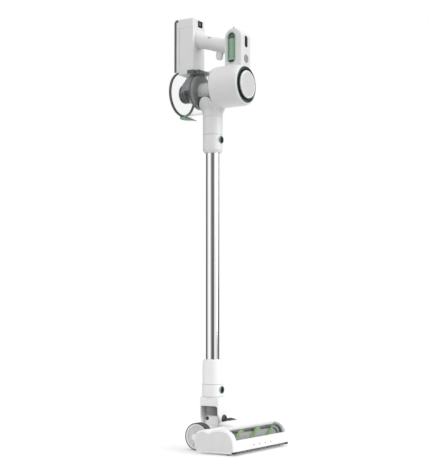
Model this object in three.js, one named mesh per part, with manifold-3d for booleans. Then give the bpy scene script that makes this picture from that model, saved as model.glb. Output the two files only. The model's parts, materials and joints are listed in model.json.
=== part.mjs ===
import * as THREE from "three";
import { mergeVertices } from "three/addons/utils/BufferGeometryUtils.js";
import Module from "manifold-3d";

// Cordless stick vacuum. Millimetres, +Z up, the front faces -Y.
// Every function below works in (x, f, z), where f is the distance forwards of the wand's axis.

// ---- driving dimensions ----
const WAND_SETBACK = 21.5; // the wand's axis is this far behind the middle of the footprint
const GAP = 0.3; // between neighbouring pieces

// floor head
const HEAD_HALF = 127; // half width without the end plates
const END_PLATE = 3.7;
const SOLE_Z = 3.5;
const NOSE_F = 142;
const TAIL_F = 29.5;
const HUMP_F = 103;
const HUMP_Z = 59.3;
const SPLIT_Z = 33; // seam between base and cover
const ROLLER_F = 105;
const ROLLER_Z = 27;
const CORE_R = 17.5;
const BRISTLE_R = 24.3;
const ROLLER_HALF = 109;
const STRIP_PITCH = 316;
const CHAMBER_R = 26.3;
const CHAMBER_Z = 28;
const CHAMBER_HALF = 111;
const WINDOW_F = 105.5;
const WINDOW_Z = 30;
const WINDOW_R = 28.2;
const WINDOW_HALF = 117;
const MOTOR_F = 68;
const MOTOR_Z = 24;
const DRIVEN_R = 10.8;
const DRIVER_R = 5;
const BELT_FROM = 115.5;
const BELT_TO = 121.5;
const LAMP_Z = 18.5;
const LAMPS = [-40.5, -13.5, 13.5, 40.5];

// wheels and neck joint
const AXLE_F = 4.5;
const AXLE_Z = 32.72; // the wheels stand on a flat facet
const WHEEL_R = 33;
const WHEEL_IN = 57;
const WHEEL_OUT = 81;
const BAY_OUT = 84.5;
const CASTOR_F = 120;
const CASTOR_X = 118.5;
const CASTOR_R = 5;
const BARREL_R = 21;
const CHEEK_IN = 28.8;
const CHEEK_OUT = 38;
const ROLL_Z = 70;
const FORK_BACK = -26;
const FORK_FRONT = 32;
const FORK_HALF = 23;
const FORK_LEG_Z = 102;
const FORK_TOP = 124.2;

// wand
const SOCKET_R = 26.75;
const SOCKET_TOP = 154.4;
const SPIGOT_R = 21;
const COLLAR_R = 25.6;
const COLLAR_TOP = 215.5;
const TUBE_R = 17.5;
const TUBE_BORE = 16;
const UPPER_FROM = 728.6;
const UPPER_TO = 774;
const UPPER_R = 25.2;
const UPPER_SPIGOT = 19.8;
const BUTTON_R = 9.5;

// handheld unit
const NECK_R = 25.25;
const NECK_BORE = 20.1;
const CUP_Z = 886;
const CUP_R = 57;
const CUP_WALL = 2;
const CUP_BACK = -85.3;
const CUP_FRONT = 15.7;
const CUP_FLAT = 930.7;
const SADDLE_R = 44.5;
const FAN_Z = 892.5;
const FAN_R = 52;
const FAN_BACK = 18;
const FAN_FRONT = 97.8;
const POD_BACK = 48;
const POD_FRONT = 98;
const POD_HALF = 24;
const POD_TOP = 1034;
const MODE_Z = 957;
const COLUMN_BACK = -99;
const COLUMN_SEAM = -91.7;
const COLUMN_FRONT = -41.5;
const COLUMN_HALF = 28;
const COLUMN_ROUND = 4;
const COLUMN_FOOT = 931.1;
const COLUMN_CAP = 1050;
const COLUMN_TOP = 1073.5;
const FOOT_FRONT = -82; // the column's foot is solid behind this
const FOOT_TOP = 954.4;
const BACK_ROUND = 9; // corner of the dark back
const BACK_LIP = -87; // where the dark back ends on the column's top
const GRIP_SLOPE = THREE.MathUtils.degToRad(16.7);
const GRIP_F = -8;
const GRIP_Z = 1009.5;
const TRIGGER_F = 31;
const TRIGGER_Z = 987.5;
const LID_FROM = -95.3;
const LID_TO = -85.6;
const LID_PIN_F = -95.8;
const LID_PIN_Z = 946.5;
const LATCH_F = -74;
const LATCH_Z = 824;

// facets round large, middling and small circles
const FINE = 24;
const MID = 16;
const SMALL = 12;

// ---- materials ----
function finish(color, roughness, metalness, opacity) {
  const see = opacity ?? 1;
  return new THREE.MeshStandardMaterial({ color, roughness, metalness, opacity: see, transparent: see < 1 });
}
const WHITE = finish(0xf1f2f3, 0.35, 0);
const LIGHT_GREY = finish(0xd2d4d6, 0.5, 0);
const MID_GREY = finish(0x9a9c9e, 0.5, 0);
const DARK_GREY = finish(0x5c5e60, 0.5, 0);
const RUBBER = finish(0x4a4c4e, 0.8, 0);
const SAGE = finish(0x8fae97, 0.3, 0);
const GLOSS_BLACK = finish(0x101412, 0.1, 0);
const DEEP_GREEN = finish(0x24402f, 0.15, 0);
const CLEAR = finish(0xe8eeee, 0.05, 0, 0.25);
const SMOKE = finish(0x77797b, 0.2, 0, 0.8);
const BRIGHT_METAL = finish(0xc4c6c8, 0.2, 1);
const STEEL = finish(0x8c8e90, 0.35, 1);
const BRISTLE = finish(0x86b46a, 0.8, 0);
const FILTER = finish(0xe6e4dc, 0.9, 0);

// ---- shape tools ----
const wasm = await Module();
wasm.setup();

function solid(geometry) {
  const flat = geometry.index ? geometry.toNonIndexed() : geometry;
  const bare = new THREE.BufferGeometry().setAttribute("position", flat.getAttribute("position"));
  const welded = mergeVertices(bare, 1e-4);
  const place = welded.getAttribute("position");
  const corner = (i) => new THREE.Vector3().fromBufferAttribute(place, i);
  const faces = [];
  let volume = 0;
  for (let i = 0; i < welded.index.count; i += 3) {
    const [a, b, c] = [0, 1, 2].map((k) => welded.index.getX(i + k));
    if (a === b || b === c || c === a) continue;
    faces.push([a, b, c]);
    volume += corner(a).dot(corner(b).cross(corner(c)));
  }
  const facing = volume < 0 ? faces.map(([a, b, c]) => [a, c, b]) : faces;
  const triVerts = new Uint32Array(facing.flat());
  return new wasm.Manifold(new wasm.Mesh({ numProp: 3, vertProperties: place.array, triVerts }));
}

// Moves each vertex from a geometry's own axes to (x, f, z), and turns f into -Y.
function mapped(geometry, toPart) {
  const place = geometry.getAttribute("position");
  for (let i = 0; i < place.count; i++) {
    const [x, f, z] = toPart(place.getX(i), place.getY(i), place.getZ(i));
    place.setXYZ(i, x, -f, z);
  }
  return solid(geometry);
}

function prism(points, from, to, along) {
  const outline = new THREE.Shape(points.map(([u, v]) => new THREE.Vector2(u, v)));
  const geometry = new THREE.ExtrudeGeometry(outline, { depth: to - from, bevelEnabled: false });
  const ways = {
    x: (u, v, w) => [from + w, u, v],
    f: (u, v, w) => [u, from + w, v],
    z: (u, v, w) => [u, v, from + w],
  };
  return mapped(geometry, ways[along]);
}

function turned(profile, along, centre, segments = FINE, phase = 0) {
  const points = profile.map(([r, t]) => new THREE.Vector2(r, t));
  const geometry = new THREE.LatheGeometry(points, segments, phase);
  const [a, b] = centre;
  const ways = {
    x: (u, t, w) => [t, a + u, b + w],
    f: (u, t, w) => [a + u, t, b + w],
    z: (u, t, w) => [a + u, b + w, t],
  };
  return mapped(geometry, ways[along]);
}

function rod(r, from, to, along, centre, segments = FINE) {
  return turned([[0, from], [r, from], [r, to], [0, to]], along, centre, segments);
}

function pipe(outer, inner, from, to, along, centre, segments = FINE) {
  const ring = [[inner, from], [outer, from], [outer, to], [inner, to], [inner, from]];
  return turned(ring, along, centre, segments);
}

function block(x0, x1, f0, f1, z0, z1) {
  return prism([[x0, f0], [x1, f0], [x1, f1], [x0, f1]], z0, z1, "z");
}

function arc(u, v, r, fromDeg, toDeg, steps) {
  return Array.from({ length: steps + 1 }, (_, i) => {
    const a = THREE.MathUtils.degToRad(fromDeg + ((toDeg - fromDeg) * i) / steps);
    return [u + r * Math.cos(a), v + r * Math.sin(a)];
  });
}

function roundedBox(u0, u1, v0, v1, r, steps = 4) {
  return [
    ...arc(u1 - r, v0 + r, r, -90, 0, steps),
    ...arc(u1 - r, v1 - r, r, 0, 90, steps),
    ...arc(u0 + r, v1 - r, r, 90, 180, steps),
    ...arc(u0 + r, v0 + r, r, 180, 270, steps),
  ];
}

function joined(parts) {
  return parts.reduce((whole, part) => whole.add(part));
}

function without(whole, cuts) {
  return cuts.reduce((left, cut) => left.subtract(cut), whole);
}

const group = new THREE.Group();
group.name = "cordless_stick_vacuum";
group.position.y = WAND_SETBACK;

function piece(name, body, material) {
  const { vertProperties, triVerts } = body.getMesh();
  const geometry = new THREE.BufferGeometry();
  geometry.setAttribute("position", new THREE.BufferAttribute(vertProperties, 3));
  geometry.setIndex(new THREE.BufferAttribute(triVerts, 1));
  geometry.computeVertexNormals();
  const mesh = new THREE.Mesh(geometry, material);
  mesh.name = name;
  group.add(mesh);
}

const SIDES = [["left", -1], ["right", 1]];
const span = (side, a, b) => [Math.min(side * a, side * b), Math.max(side * a, side * b)];

// ---- floor head ----
// Side outline of the head: flat sole, rounded nose, roller hump, dip and wheel shoulder.
function headOutline() {
  const outline = new THREE.Shape();
  outline.moveTo(TAIL_F + 15, SOLE_Z);
  outline.lineTo(NOSE_F - 12, SOLE_Z);
  outline.quadraticCurveTo(NOSE_F, SOLE_Z, NOSE_F, 16);
  outline.quadraticCurveTo(NOSE_F, HUMP_Z, HUMP_F, HUMP_Z);
  outline.quadraticCurveTo(84, HUMP_Z, 75, 52.5);
  outline.quadraticCurveTo(70, 47.5, 64.5, 53);
  outline.quadraticCurveTo(60, 57.5, 54, 56.3);
  outline.quadraticCurveTo(TAIL_F, 53, TAIL_F, 33);
  outline.quadraticCurveTo(TAIL_F, SOLE_Z, TAIL_F + 15, SOLE_Z);
  return outline.getPoints(4).slice(0, -1).map((p) => [p.x, p.y]);
}

// Outline of a loop round both pulleys, standing off each by the same distance.
function beltOutline(off, steps = 8) {
  const reach = Math.hypot(ROLLER_F - MOTOR_F, ROLLER_Z - MOTOR_Z);
  const lean = THREE.MathUtils.radToDeg(Math.atan2(ROLLER_Z - MOTOR_Z, ROLLER_F - MOTOR_F));
  const wrap = THREE.MathUtils.radToDeg(Math.acos((DRIVER_R - DRIVEN_R) / reach));
  return [
    ...arc(ROLLER_F, ROLLER_Z, DRIVEN_R + off, lean - wrap, lean + wrap, steps),
    ...arc(MOTOR_F, MOTOR_Z, DRIVER_R + off, lean + wrap, lean + 360 - wrap, steps),
  ];
}

// Space inside the head that base and cover share.
function headHollow() {
  return joined([
    rod(CHAMBER_R, -CHAMBER_HALF, CHAMBER_HALF, "x", [ROLLER_F, CHAMBER_Z], FINE),
    block(-CHAMBER_HALF, CHAMBER_HALF, 82, 127, -5, 16),
    block(-19, 19, 30, 84, 14, 42),
    prism(beltOutline(2.6), CHAMBER_HALF + 2.5, HEAD_HALF - 3, "x"),
    rod(9.2, 54, CHAMBER_HALF - 1, "x", [MOTOR_F, MOTOR_Z], MID),
    rod(3, CHAMBER_HALF - 2, CHAMBER_HALF + 4, "x", [MOTOR_F, MOTOR_Z], SMALL),
    rod(4.5, -118, HEAD_HALF - 3, "x", [ROLLER_F, ROLLER_Z], SMALL),
  ]);
}

function knuckleBay() {
  return rod(BARREL_R + 2, -CHEEK_IN, CHEEK_IN, "x", [AXLE_F, AXLE_Z], MID);
}

function windowSector(inner, outer, fromDeg, toDeg, half) {
  const outline = [
    ...arc(WINDOW_F, WINDOW_Z, outer, fromDeg, toDeg, 8),
    ...arc(WINDOW_F, WINDOW_Z, inner, toDeg, fromDeg, 8),
  ];
  return prism(outline, -half, half, "x");
}

function headBase() {
  const wheelBays = SIDES.map(([, s]) => block(...span(s, 48, BAY_OUT), 0, AXLE_F + WHEEL_R + 3, -5, 80));
  const body = without(prism(headOutline(), -HEAD_HALF, HEAD_HALF, "x"), [
    block(-50, 50, 0, 48, -5, 80),
    ...wheelBays,
    block(-200, 200, 54, 200, SPLIT_Z, 80),
    block(-CHEEK_OUT - GAP, CHEEK_OUT + GAP, 38.7, 54.5, SPLIT_Z, 80),
  ]);
  const cheeks = SIDES.flatMap(([, s]) => [
    rod(20, ...span(s, CHEEK_IN, CHEEK_OUT), "x", [AXLE_F, AXLE_Z], MID),
    block(...span(s, CHEEK_IN, CHEEK_OUT), AXLE_F, 50, AXLE_Z - 20, SPLIT_Z),
    block(...span(s, CHEEK_IN, CHEEK_OUT), AXLE_F, 38, SPLIT_Z - 1, AXLE_Z + 18),
  ]);
  const sole = block(-CHEEK_OUT, CHEEK_OUT, 20, 50, 5, 9);
  const web = block(-CHEEK_OUT, CHEEK_OUT, 40, 50, 5, SPLIT_Z);
  const axle = [AXLE_F, AXLE_Z];
  const stubs = SIDES.map(([, s]) => rod(4, ...span(s, WHEEL_IN + 0.5, BAY_OUT + 2), "x", axle, SMALL));
  const arms = SIDES.map(([, s]) => prism(roundedBox(AXLE_F - 7, 40, AXLE_Z - 7, AXLE_Z + 7, 6.9, 4),
    ...span(s, BAY_OUT, BAY_OUT + 6), "x"));
  const castorPockets = SIDES.map(([, s]) => block(...span(s, 114, 123), 114.4, 125.6, -5, 10.7));
  const castorPins = SIDES.map(([, s]) => rod(1.3, ...span(s, 113, 124), "x", [CASTOR_F, CASTOR_R], SMALL));
  const pinHoles = SIDES.map(([, s]) => rod(7.3, ...span(s, CHEEK_IN - 1, CHEEK_OUT + 1), "x",
    [AXLE_F, AXLE_Z], MID));
  const lampHoles = LAMPS.map((x) => rod(1.9, 137, 145, "f", [x, LAMP_Z], SMALL));
  const cut = without(joined([body, ...cheeks, sole, web, ...arms]), [
    headHollow(),
    knuckleBay(),
    windowSector(CHAMBER_R - 0.2, 50, 7, 90, WINDOW_HALF + GAP),
    block(-HEAD_HALF + 2, HEAD_HALF - 2, 132.7, 150, -5, 9),
    block(-60, 60, 135.5, 138.8, LAMP_Z - 4, LAMP_Z + 4),
    ...lampHoles,
    ...pinHoles,
    ...castorPockets,
  ]);
  return joined([cut, ...stubs, ...castorPins]);
}

function headCover() {
  const fairing = prism([[39, SPLIT_Z + GAP], [39, 62], [44, 66], [52, 66.5], [80, 61], [95, 55],
    [95, SPLIT_Z + GAP]], -CHEEK_OUT, CHEEK_OUT, "x");
  const shell = prism(headOutline(), -HEAD_HALF, HEAD_HALF, "x")
    .intersect(block(-200, 200, 54.3, 200, SPLIT_Z + GAP, 90));
  const inside = joined([
    prism(roundedBox(59, 80, 20, 47, 2), -108, -24, "x"),
    prism(roundedBox(59, 80, 20, 47, 2), 24, 108, "x"),
    prism([[42, 20], [42, 57.5], [60, 56.5], [76, 53], [76, 20]], -34, 34, "x"),
  ]);
  return without(shell.add(fairing), [
    inside,
    headHollow(),
    knuckleBay(),
    windowSector(CHAMBER_R - 0.2, 50, 0, 86, WINDOW_HALF + GAP),
  ]);
}

function endPlate(side) {
  return prism(headOutline(), ...span(side, HEAD_HALF + GAP, HEAD_HALF + GAP + END_PLATE), "x");
}

function frontBumper() {
  const bar = prism([[133, 4.2], [139, 4.2], [140.6, 8.7], [133, 8.7]], -124.5, 124.5, "x");
  const starts = Array.from({ length: 13 }, (_, i) => -121.5 + i * 19);
  const teeth = starts.map((x) => block(x, x + 15, 136, 150, 0, 6.4));
  return without(bar, teeth);
}

function lampBar() {
  const pins = LAMPS.map((x) => rod(1.6, 138, 141.8, "f", [x, LAMP_Z], SMALL));
  return joined([block(-59.5, 59.5, 135.8, 138.4, LAMP_Z - 3.6, LAMP_Z + 3.6), ...pins]);
}

function rollerStrip(turn) {
  const length = 2 * ROLLER_HALF - 2;
  const geometry = new THREE.BoxGeometry(length, 5, BRISTLE_R - CORE_R - 0.5, 18, 1, 1);
  const middle = (BRISTLE_R + CORE_R + 0.5) / 2;
  return mapped(geometry, (u, v, w) => {
    const a = turn + (2 * Math.PI * u) / STRIP_PITCH;
    const r = middle + w;
    return [u, ROLLER_F + r * Math.cos(a) - v * Math.sin(a), ROLLER_Z + r * Math.sin(a) + v * Math.cos(a)];
  });
}

function buildFloorHead() {
  piece("head_base", headBase(), WHITE);
  piece("head_cover", headCover(), WHITE);
  piece("brush_window", windowSector(CHAMBER_R + 0.1, WINDOW_R, 8.5, 85, WINDOW_HALF), CLEAR);
  for (const [name, side] of SIDES) piece("end_plate_" + name, endPlate(side), LIGHT_GREY);
  piece("front_bumper", frontBumper(), DARK_GREY);
  piece("lamp_bar", lampBar(), LIGHT_GREY);

  const axis = [ROLLER_F, ROLLER_Z];
  const core = joined([
    rod(CORE_R, -ROLLER_HALF, ROLLER_HALF, "x", axis, FINE),
    rod(4.1, -117.5, 123, "x", axis, SMALL),
  ]);
  piece("brush_core", core, MID_GREY);
  for (let i = 0; i < 4; i++) {
    piece("brush_strip_" + (i + 1), rollerStrip((i * Math.PI) / 2 - 2.3), BRISTLE);
  }
  piece("brush_pulley", pipe(DRIVEN_R, 4.4, BELT_FROM - 0.5, BELT_TO + 0.5, "x", axis, MID), DARK_GREY);
  const loop = prism(beltOutline(1.6), BELT_FROM, BELT_TO, "x");
  piece("drive_belt", loop.subtract(prism(beltOutline(GAP), BELT_FROM - 1, BELT_TO + 1, "x")), RUBBER);
  const drive = [MOTOR_F, MOTOR_Z];
  const shaft = rod(1.5, 108, 122.5, "x", drive, SMALL);
  piece("brush_motor", rod(8.6, 55, 109, "x", drive, MID).add(shaft), STEEL);
  piece("motor_pulley", pipe(DRIVER_R, 1.8, BELT_FROM - 0.5, BELT_TO + 0.5, "x", drive, MID), DARK_GREY);
}

function wheelHub(side) {
  const [rim, face, dish] = [WHEEL_R - 4.3, WHEEL_OUT - 0.5, WHEEL_OUT - 3];
  const ring = [[4.3, WHEEL_IN + 1], [rim, WHEEL_IN + 1], [rim, face], [rim - 2, face], [rim - 3, dish],
    [9, dish], [9, face], [4.3, face], [4.3, WHEEL_IN + 1]];
  return turned(ring.map(([r, t]) => [r, side * t]), "x", [AXLE_F, AXLE_Z], FINE);
}

function buildWheels() {
  for (const [name, side] of SIDES) {
    piece("wheel_hub_" + name, wheelHub(side), LIGHT_GREY);
    const bore = WHEEL_R - 4;
    const tread = [[bore, WHEEL_IN], [WHEEL_R, WHEEL_IN], [WHEEL_R, WHEEL_OUT], [bore, WHEEL_OUT],
      [bore, WHEEL_IN]].map(([r, t]) => [r, side * t]);
    piece("wheel_tyre_" + name, turned(tread, "x", [AXLE_F, AXLE_Z], FINE, Math.PI / FINE), RUBBER);
    piece("front_castor_" + name, pipe(CASTOR_R, 1.6, ...span(side, CASTOR_X - 3.7, CASTOR_X + 3.7), "x",
      [CASTOR_F, CASTOR_R], MID), RUBBER);
  }
}

// ---- neck joint ----
function buildNeckJoint() {
  const barrel = [AXLE_F, AXLE_Z];
  const knuckle = without(joined([
    rod(BARREL_R, -28.4, 28.4, "x", barrel, FINE),
    rod(7, -37.6, 37.6, "x", barrel, MID),
    prism(roundedBox(-16, 16, -14, 26, 6, 3), AXLE_Z, 77, "z"),
    rod(5, 25, FORK_FRONT - 0.2, "f", [0, ROLL_Z], MID),
    rod(4, FORK_BACK + 0.2, -13, "f", [0, ROLL_Z], MID),
    rod(14.2, 76, 84, "z", [0, 0], MID),
  ]), [
    rod(12, AXLE_Z, 90, "z", [0, 0], MID),
    block(-15, 15, AXLE_F, 45, 22, 42),
  ]);
  piece("knuckle", knuckle, WHITE);
  piece("pivot_cap", rod(10.5, FORK_FRONT + GAP, 37.5, "f", [0, ROLL_Z], MID), GLOSS_BLACK);

  const leg = [[-FORK_HALF, FORK_TOP], [-FORK_HALF, 84], ...arc(0, ROLL_Z, 15, 200, 340, 8),
    [FORK_HALF, 84], [FORK_HALF, FORK_TOP]];
  const section = prism(roundedBox(-FORK_HALF, FORK_HALF, FORK_BACK, FORK_FRONT, 10), 50, FORK_TOP, "z");
  const legs = prism(leg, FORK_BACK, FORK_FRONT, "f");
  const fork = without(section.intersect(legs), [
    block(-50, 50, -20.5, 27, 40, FORK_LEG_Z),
    rod(18.6, 90, 140, "z", [0, 0], MID),
    rod(5.3, 20, 40, "f", [0, ROLL_Z], MID),
    rod(4.3, -40, -10, "f", [0, ROLL_Z], MID),
  ]);
  piece("swivel_fork", fork, WHITE);
  piece("flex_hose", pipe(17.5, 14.5, 79.4, 105.5, "z", [0, 0], MID), MID_GREY);

  const socket = turned([[16, 106], [18.2, 106], [18.2, FORK_TOP + GAP], [SOCKET_R, FORK_TOP + GAP],
    [SOCKET_R, SOCKET_TOP], [SPIGOT_R + GAP, SOCKET_TOP], [SPIGOT_R + GAP, 126.5], [16, 126.5], [16, 106]],
  "z", [0, 0], FINE);
  piece("wand_socket", socket.subtract(rod(BUTTON_R + GAP, 22.9, 40, "f", [0, 141], MID)), WHITE);
  piece("lower_release_button", rod(BUTTON_R, 24.9, 29.2, "f", [0, 141], MID), DEEP_GREEN);
}

// ---- wand ----
function buildWand() {
  const lower = turned([[15.7, 127], [SPIGOT_R, 127], [SPIGOT_R, SOCKET_TOP + GAP], [26, SOCKET_TOP + GAP],
    [COLLAR_R, 210], [23, COLLAR_TOP], [TUBE_R + GAP, COLLAR_TOP], [TUBE_R + GAP, 165.5], [15.7, 165.5],
    [15.7, 127]], "z", [0, 0], FINE);
  piece("wand_lower_collar", lower, WHITE);
  piece("wand_tube", pipe(TUBE_R, TUBE_BORE, 166, 762, "z", [0, 0], FINE), BRIGHT_METAL);
  const upper = turned([[TUBE_R + GAP, UPPER_FROM], [21, UPPER_FROM], [UPPER_R, UPPER_FROM + 6],
    [UPPER_R, UPPER_TO], [UPPER_SPIGOT, UPPER_TO], [UPPER_SPIGOT, 812], [15.7, 812], [15.7, 762.4],
    [TUBE_R + GAP, 762.4], [TUBE_R + GAP, UPPER_FROM]], "z", [0, 0], FINE);
  piece("wand_upper_collar", upper.subtract(rod(BUTTON_R + GAP, 20.8, 40, "f", [0, 761], MID)), WHITE);
  piece("upper_release_button", rod(BUTTON_R, 22.7, 27.8, "f", [0, 761], MID), DEEP_GREEN);
}

// ---- handheld unit ----
function funnelProfile(off) {
  const knots = [[NECK_R, 819], [NECK_R + 1.2, 829], [31, 841], [36.5, 851], [39.5, 862]];
  const flare = new THREE.SplineCurve(knots.map(([r, z]) => new THREE.Vector2(r, z))).getPoints(6)
    .map((p) => [p.x + off, p.y]);
  return [[0, UPPER_TO + GAP], [NECK_R + off, UPPER_TO + GAP], ...flare, [39.5 + off, 880], [0, 880]];
}

function neckFunnel() {
  return without(turned(funnelProfile(0), "z", [0, 0], FINE), [
    rod(NECK_BORE, 760, 815, "z", [0, 0], FINE),
    rod(15.7, 810, 900, "z", [0, 0], MID),
    rod(SADDLE_R, -60, FAN_BACK - GAP, "f", [0, CUP_Z], FINE),
    rod(FAN_R + GAP, FAN_BACK - GAP, 70, "f", [0, FAN_Z], FINE),
  ]);
}

function dustCup() {
  const below = (z) => block(-80, 80, -130, 40, 700, z);
  const outer = rod(CUP_R, CUP_BACK, CUP_FRONT, "f", [0, CUP_Z], FINE).intersect(below(CUP_FLAT));
  const inner = rod(CUP_R - CUP_WALL, CUP_BACK - 1, CUP_FRONT + 1, "f", [0, CUP_Z], FINE)
    .intersect(below(CUP_FLAT - CUP_WALL));
  const ears = SIDES.map(([, s]) => prism([[LATCH_F - 4, LATCH_Z - 3], [LATCH_F + 4, LATCH_Z - 3],
    [LATCH_F + 6, 835], [LATCH_F - 6, 835]], ...span(s, 9.6, 12), "x"));
  const shell = outer.add(joined(ears));
  return without(shell, [inner, turned(funnelProfile(0.4), "z", [0, 0], FINE)])
    .add(rod(1.5, -11, 11, "x", [LATCH_F, LATCH_Z], SMALL));
}

function cyclone() {
  const centre = [0, CUP_Z];
  const drum = turned([[0, -88.7], [22.5, -88.7], [22.5, -66], [40, -46], [43.5, -42], [43.5, -23], [0, -23]],
    "f", centre, FINE);
  const hood = rod(33.4, -74, -50, "f", centre, FINE).add(rod(43.5, -61.5, -40, "f", centre, FINE))
    .intersect(block(-60, 60, -80, -30, CUP_Z, 1000));
  const hollow = turned([[0, -86], [20, -86], [20, -65], [37, -46], [41, -42], [41, -25.5], [0, -25.5]],
    "f", centre, FINE);
  const ductSides = block(-18, 18, -24, 15, 800, CUP_Z);
  const duct = pipe(SADDLE_R - 0.5, 23.2, -24, 15, "f", centre, FINE).intersect(ductSides);
  const ductHollow = pipe(SADDLE_R - 2.5, 25.2, -30, 13, "f", centre, FINE)
    .intersect(block(-15.5, 15.5, -30, 13, 800, CUP_Z - 8));
  const underLid = block(-60, 60, -100, 20, 800, CUP_FLAT - CUP_WALL - 0.5);
  return without(joined([drum, hood, duct]).intersect(underLid), [
    hollow,
    ductHollow,
    rod(13.5, 830, 855, "z", [0, -3.5], MID),
    rod(19.5, -30, -20, "f", centre, FINE),
  ]);
}

function motorHousing() {
  const wall = FAN_BACK + 2.2;
  const ring = [[46, FAN_BACK], [FAN_R, FAN_BACK], [FAN_R, 88], [51.4, 93], [49.8, 96.4], [47.6, FAN_FRONT],
    [47.6, 88.5], [49, 87], [49, wall], [46, wall], [46, FAN_BACK]];
  return turned(ring, "f", [0, FAN_Z], FINE);
}

function podOutline(inset) {
  const r = (POD_FRONT - POD_BACK) / 2 - inset;
  const middle = (POD_FRONT + POD_BACK) / 2;
  const top = arc(middle, POD_TOP - inset - r, r, 0, 180, 12);
  return [[POD_BACK + inset, 925], [POD_FRONT - inset, 925], ...top];
}

const podWindow = (inset) =>
  roundedBox(55.5 + inset, 83.5 - inset, 943 + inset, 1025 - inset, 13.9 - inset, 5);
const statusSlot = (inset) => roundedBox(-7 + inset, 7 - inset, 985 + inset, 1015 - inset, 6.9 - inset, 5);

function frontHousing() {
  return without(prism(podOutline(0), -POD_HALF, POD_HALF, "x"), [
    prism(podOutline(2.5), -POD_HALF + 2.5, POD_HALF - 2.5, "x"),
    rod(FAN_R + GAP, 0, 120, "f", [0, FAN_Z], FINE),
    prism(podWindow(0), -40, 40, "x"),
    prism(statusSlot(0), 90, 110, "f"),
    rod(10.5, 90, 110, "f", [0, MODE_Z], MID),
  ]);
}

// The handle's own axes: t runs forwards and down along it, n is square to it and up.
const gripPoint = (t, n) => [
  GRIP_F + t * Math.cos(GRIP_SLOPE) + n * Math.sin(GRIP_SLOPE),
  GRIP_Z - t * Math.sin(GRIP_SLOPE) + n * Math.cos(GRIP_SLOPE),
];

function gripSkin(off) {
  const knots = [[24, -48], [21.5, -38], [19.2, -27], [18.3, -14], [18, 0], [18.2, 25], [18.6, 48],
    [18.8, 80]];
  const skin = new THREE.SplineCurve(knots.map(([r, t]) => new THREE.Vector2(r, t)));
  const profile = [[0, -48], ...skin.getPoints(8).map((p) => [p.x + off, p.y]), [0, 80]];
  const geometry = new THREE.LatheGeometry(profile.map(([r, t]) => new THREE.Vector2(r, t)), MID);
  return mapped(geometry, (u, t, w) => [u, ...gripPoint(t, w)]);
}

// An oval plug along the direction in which the thumb button is pressed.
function thumbPlug(from, to, grow) {
  const lean = THREE.MathUtils.degToRad(50);
  const geometry = new THREE.CylinderGeometry(1, 1, to - from, MID);
  return mapped(geometry, (u, v, w) => {
    const depth = (from + to) / 2 + v;
    const across = (4.4 + grow) * w;
    const x = -Math.sin(lean) * depth + Math.cos(lean) * across;
    const n = Math.cos(lean) * depth + Math.sin(lean) * across;
    return [x, ...gripPoint(3 + (7 + grow) * u, n)];
  });
}

function handleGrip() {
  const trimmed = without(gripSkin(0), [
    block(-60, 60, -150, COLUMN_FRONT + GAP, 900, 1100),
    block(-60, 60, POD_BACK - GAP, 150, 900, 1100),
  ]);
  return without(trimmed, [
    gripSkin(-3),
    block(-5.6, 5.6, 4.5, 36, 900, 996),
    thumbPlug(8, 25, GAP),
  ]);
}

function trigger() {
  const lobe = [[28, 990.5], [33, 990.5], [33.5, 983.5], [29.5, 978.5], [28, 968.5], [25.5, 963.5],
    [19.5, 962], [14, 965], [11.5, 971.5], [12, 980.5], [14.5, 985.5], [20, 988]];
  return prism(lobe, -5, 5, "x").add(rod(2, -8, 8, "x", [TRIGGER_F, TRIGGER_Z], SMALL));
}

// The column's outline seen from above, from the seam with its dark back to its front.
function columnBlock(inset, from, to) {
  const outline = roundedBox(-COLUMN_HALF + inset, COLUMN_HALF - inset, COLUMN_SEAM - 7,
    COLUMN_FRONT - inset, COLUMN_ROUND, 3);
  return prism(outline, from, to, "z").subtract(block(-40, 40, -110, COLUMN_SEAM, 900, 1100));
}

// Space that the lid's rim turns in, under the back of the column.
function rimNotch() {
  return rod(CUP_R + 2, -110, LID_TO + 0.8, "f", [0, CUP_Z], FINE);
}

function columnShell() {
  const foot = block(-COLUMN_HALF, COLUMN_HALF, COLUMN_SEAM, FOOT_FRONT, COLUMN_FOOT, FOOT_TOP);
  const hollow = columnBlock(2.5, COLUMN_FOOT + 2.5, 1100)
    .subtract(block(-40, 40, -110, FOOT_FRONT, 900, FOOT_TOP));
  const shell = columnBlock(0, COLUMN_FOOT, COLUMN_CAP - GAP).add(foot);
  return without(shell, [hollow, rimNotch()]);
}

// The dark back bends forwards over the top.
function columnBack() {
  const [outer, inner] = [COLUMN_BACK + BACK_ROUND, COLUMN_TOP - BACK_ROUND];
  const outline = [
    [COLUMN_SEAM - GAP, 934],
    [COLUMN_BACK, 934],
    ...arc(outer, inner, BACK_ROUND, 180, 90, 4),
    [BACK_LIP, COLUMN_TOP],
    [BACK_LIP, COLUMN_TOP - 7],
    [COLUMN_SEAM - GAP, COLUMN_TOP - 7],
  ];
  const strip = without(prism(outline, -COLUMN_HALF, COLUMN_HALF, "x"), [
    rimNotch(),
    block(-8.2, 8.2, -110, -80, 930, LID_PIN_Z + 4.5),
  ]);
  return strip.add(rod(1.5, -12, 12, "x", [LID_PIN_F, LID_PIN_Z], SMALL));
}

const DISPLAY = [-5.5, 15.5, 1054, 1070];

function columnCap() {
  const [x0, x1, z0, z1] = DISPLAY;
  return without(columnBlock(0, COLUMN_CAP, COLUMN_TOP), [
    columnBlock(2.5, COLUMN_CAP - 1, COLUMN_TOP - 2.5),
    block(-40, 40, -110, BACK_LIP + GAP, COLUMN_TOP - 7 - GAP, 1100),
    block(x0 - GAP, x1 + GAP, COLUMN_FRONT - 5, COLUMN_FRONT + 1, z0 - GAP, z1 + GAP),
  ]);
}

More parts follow.
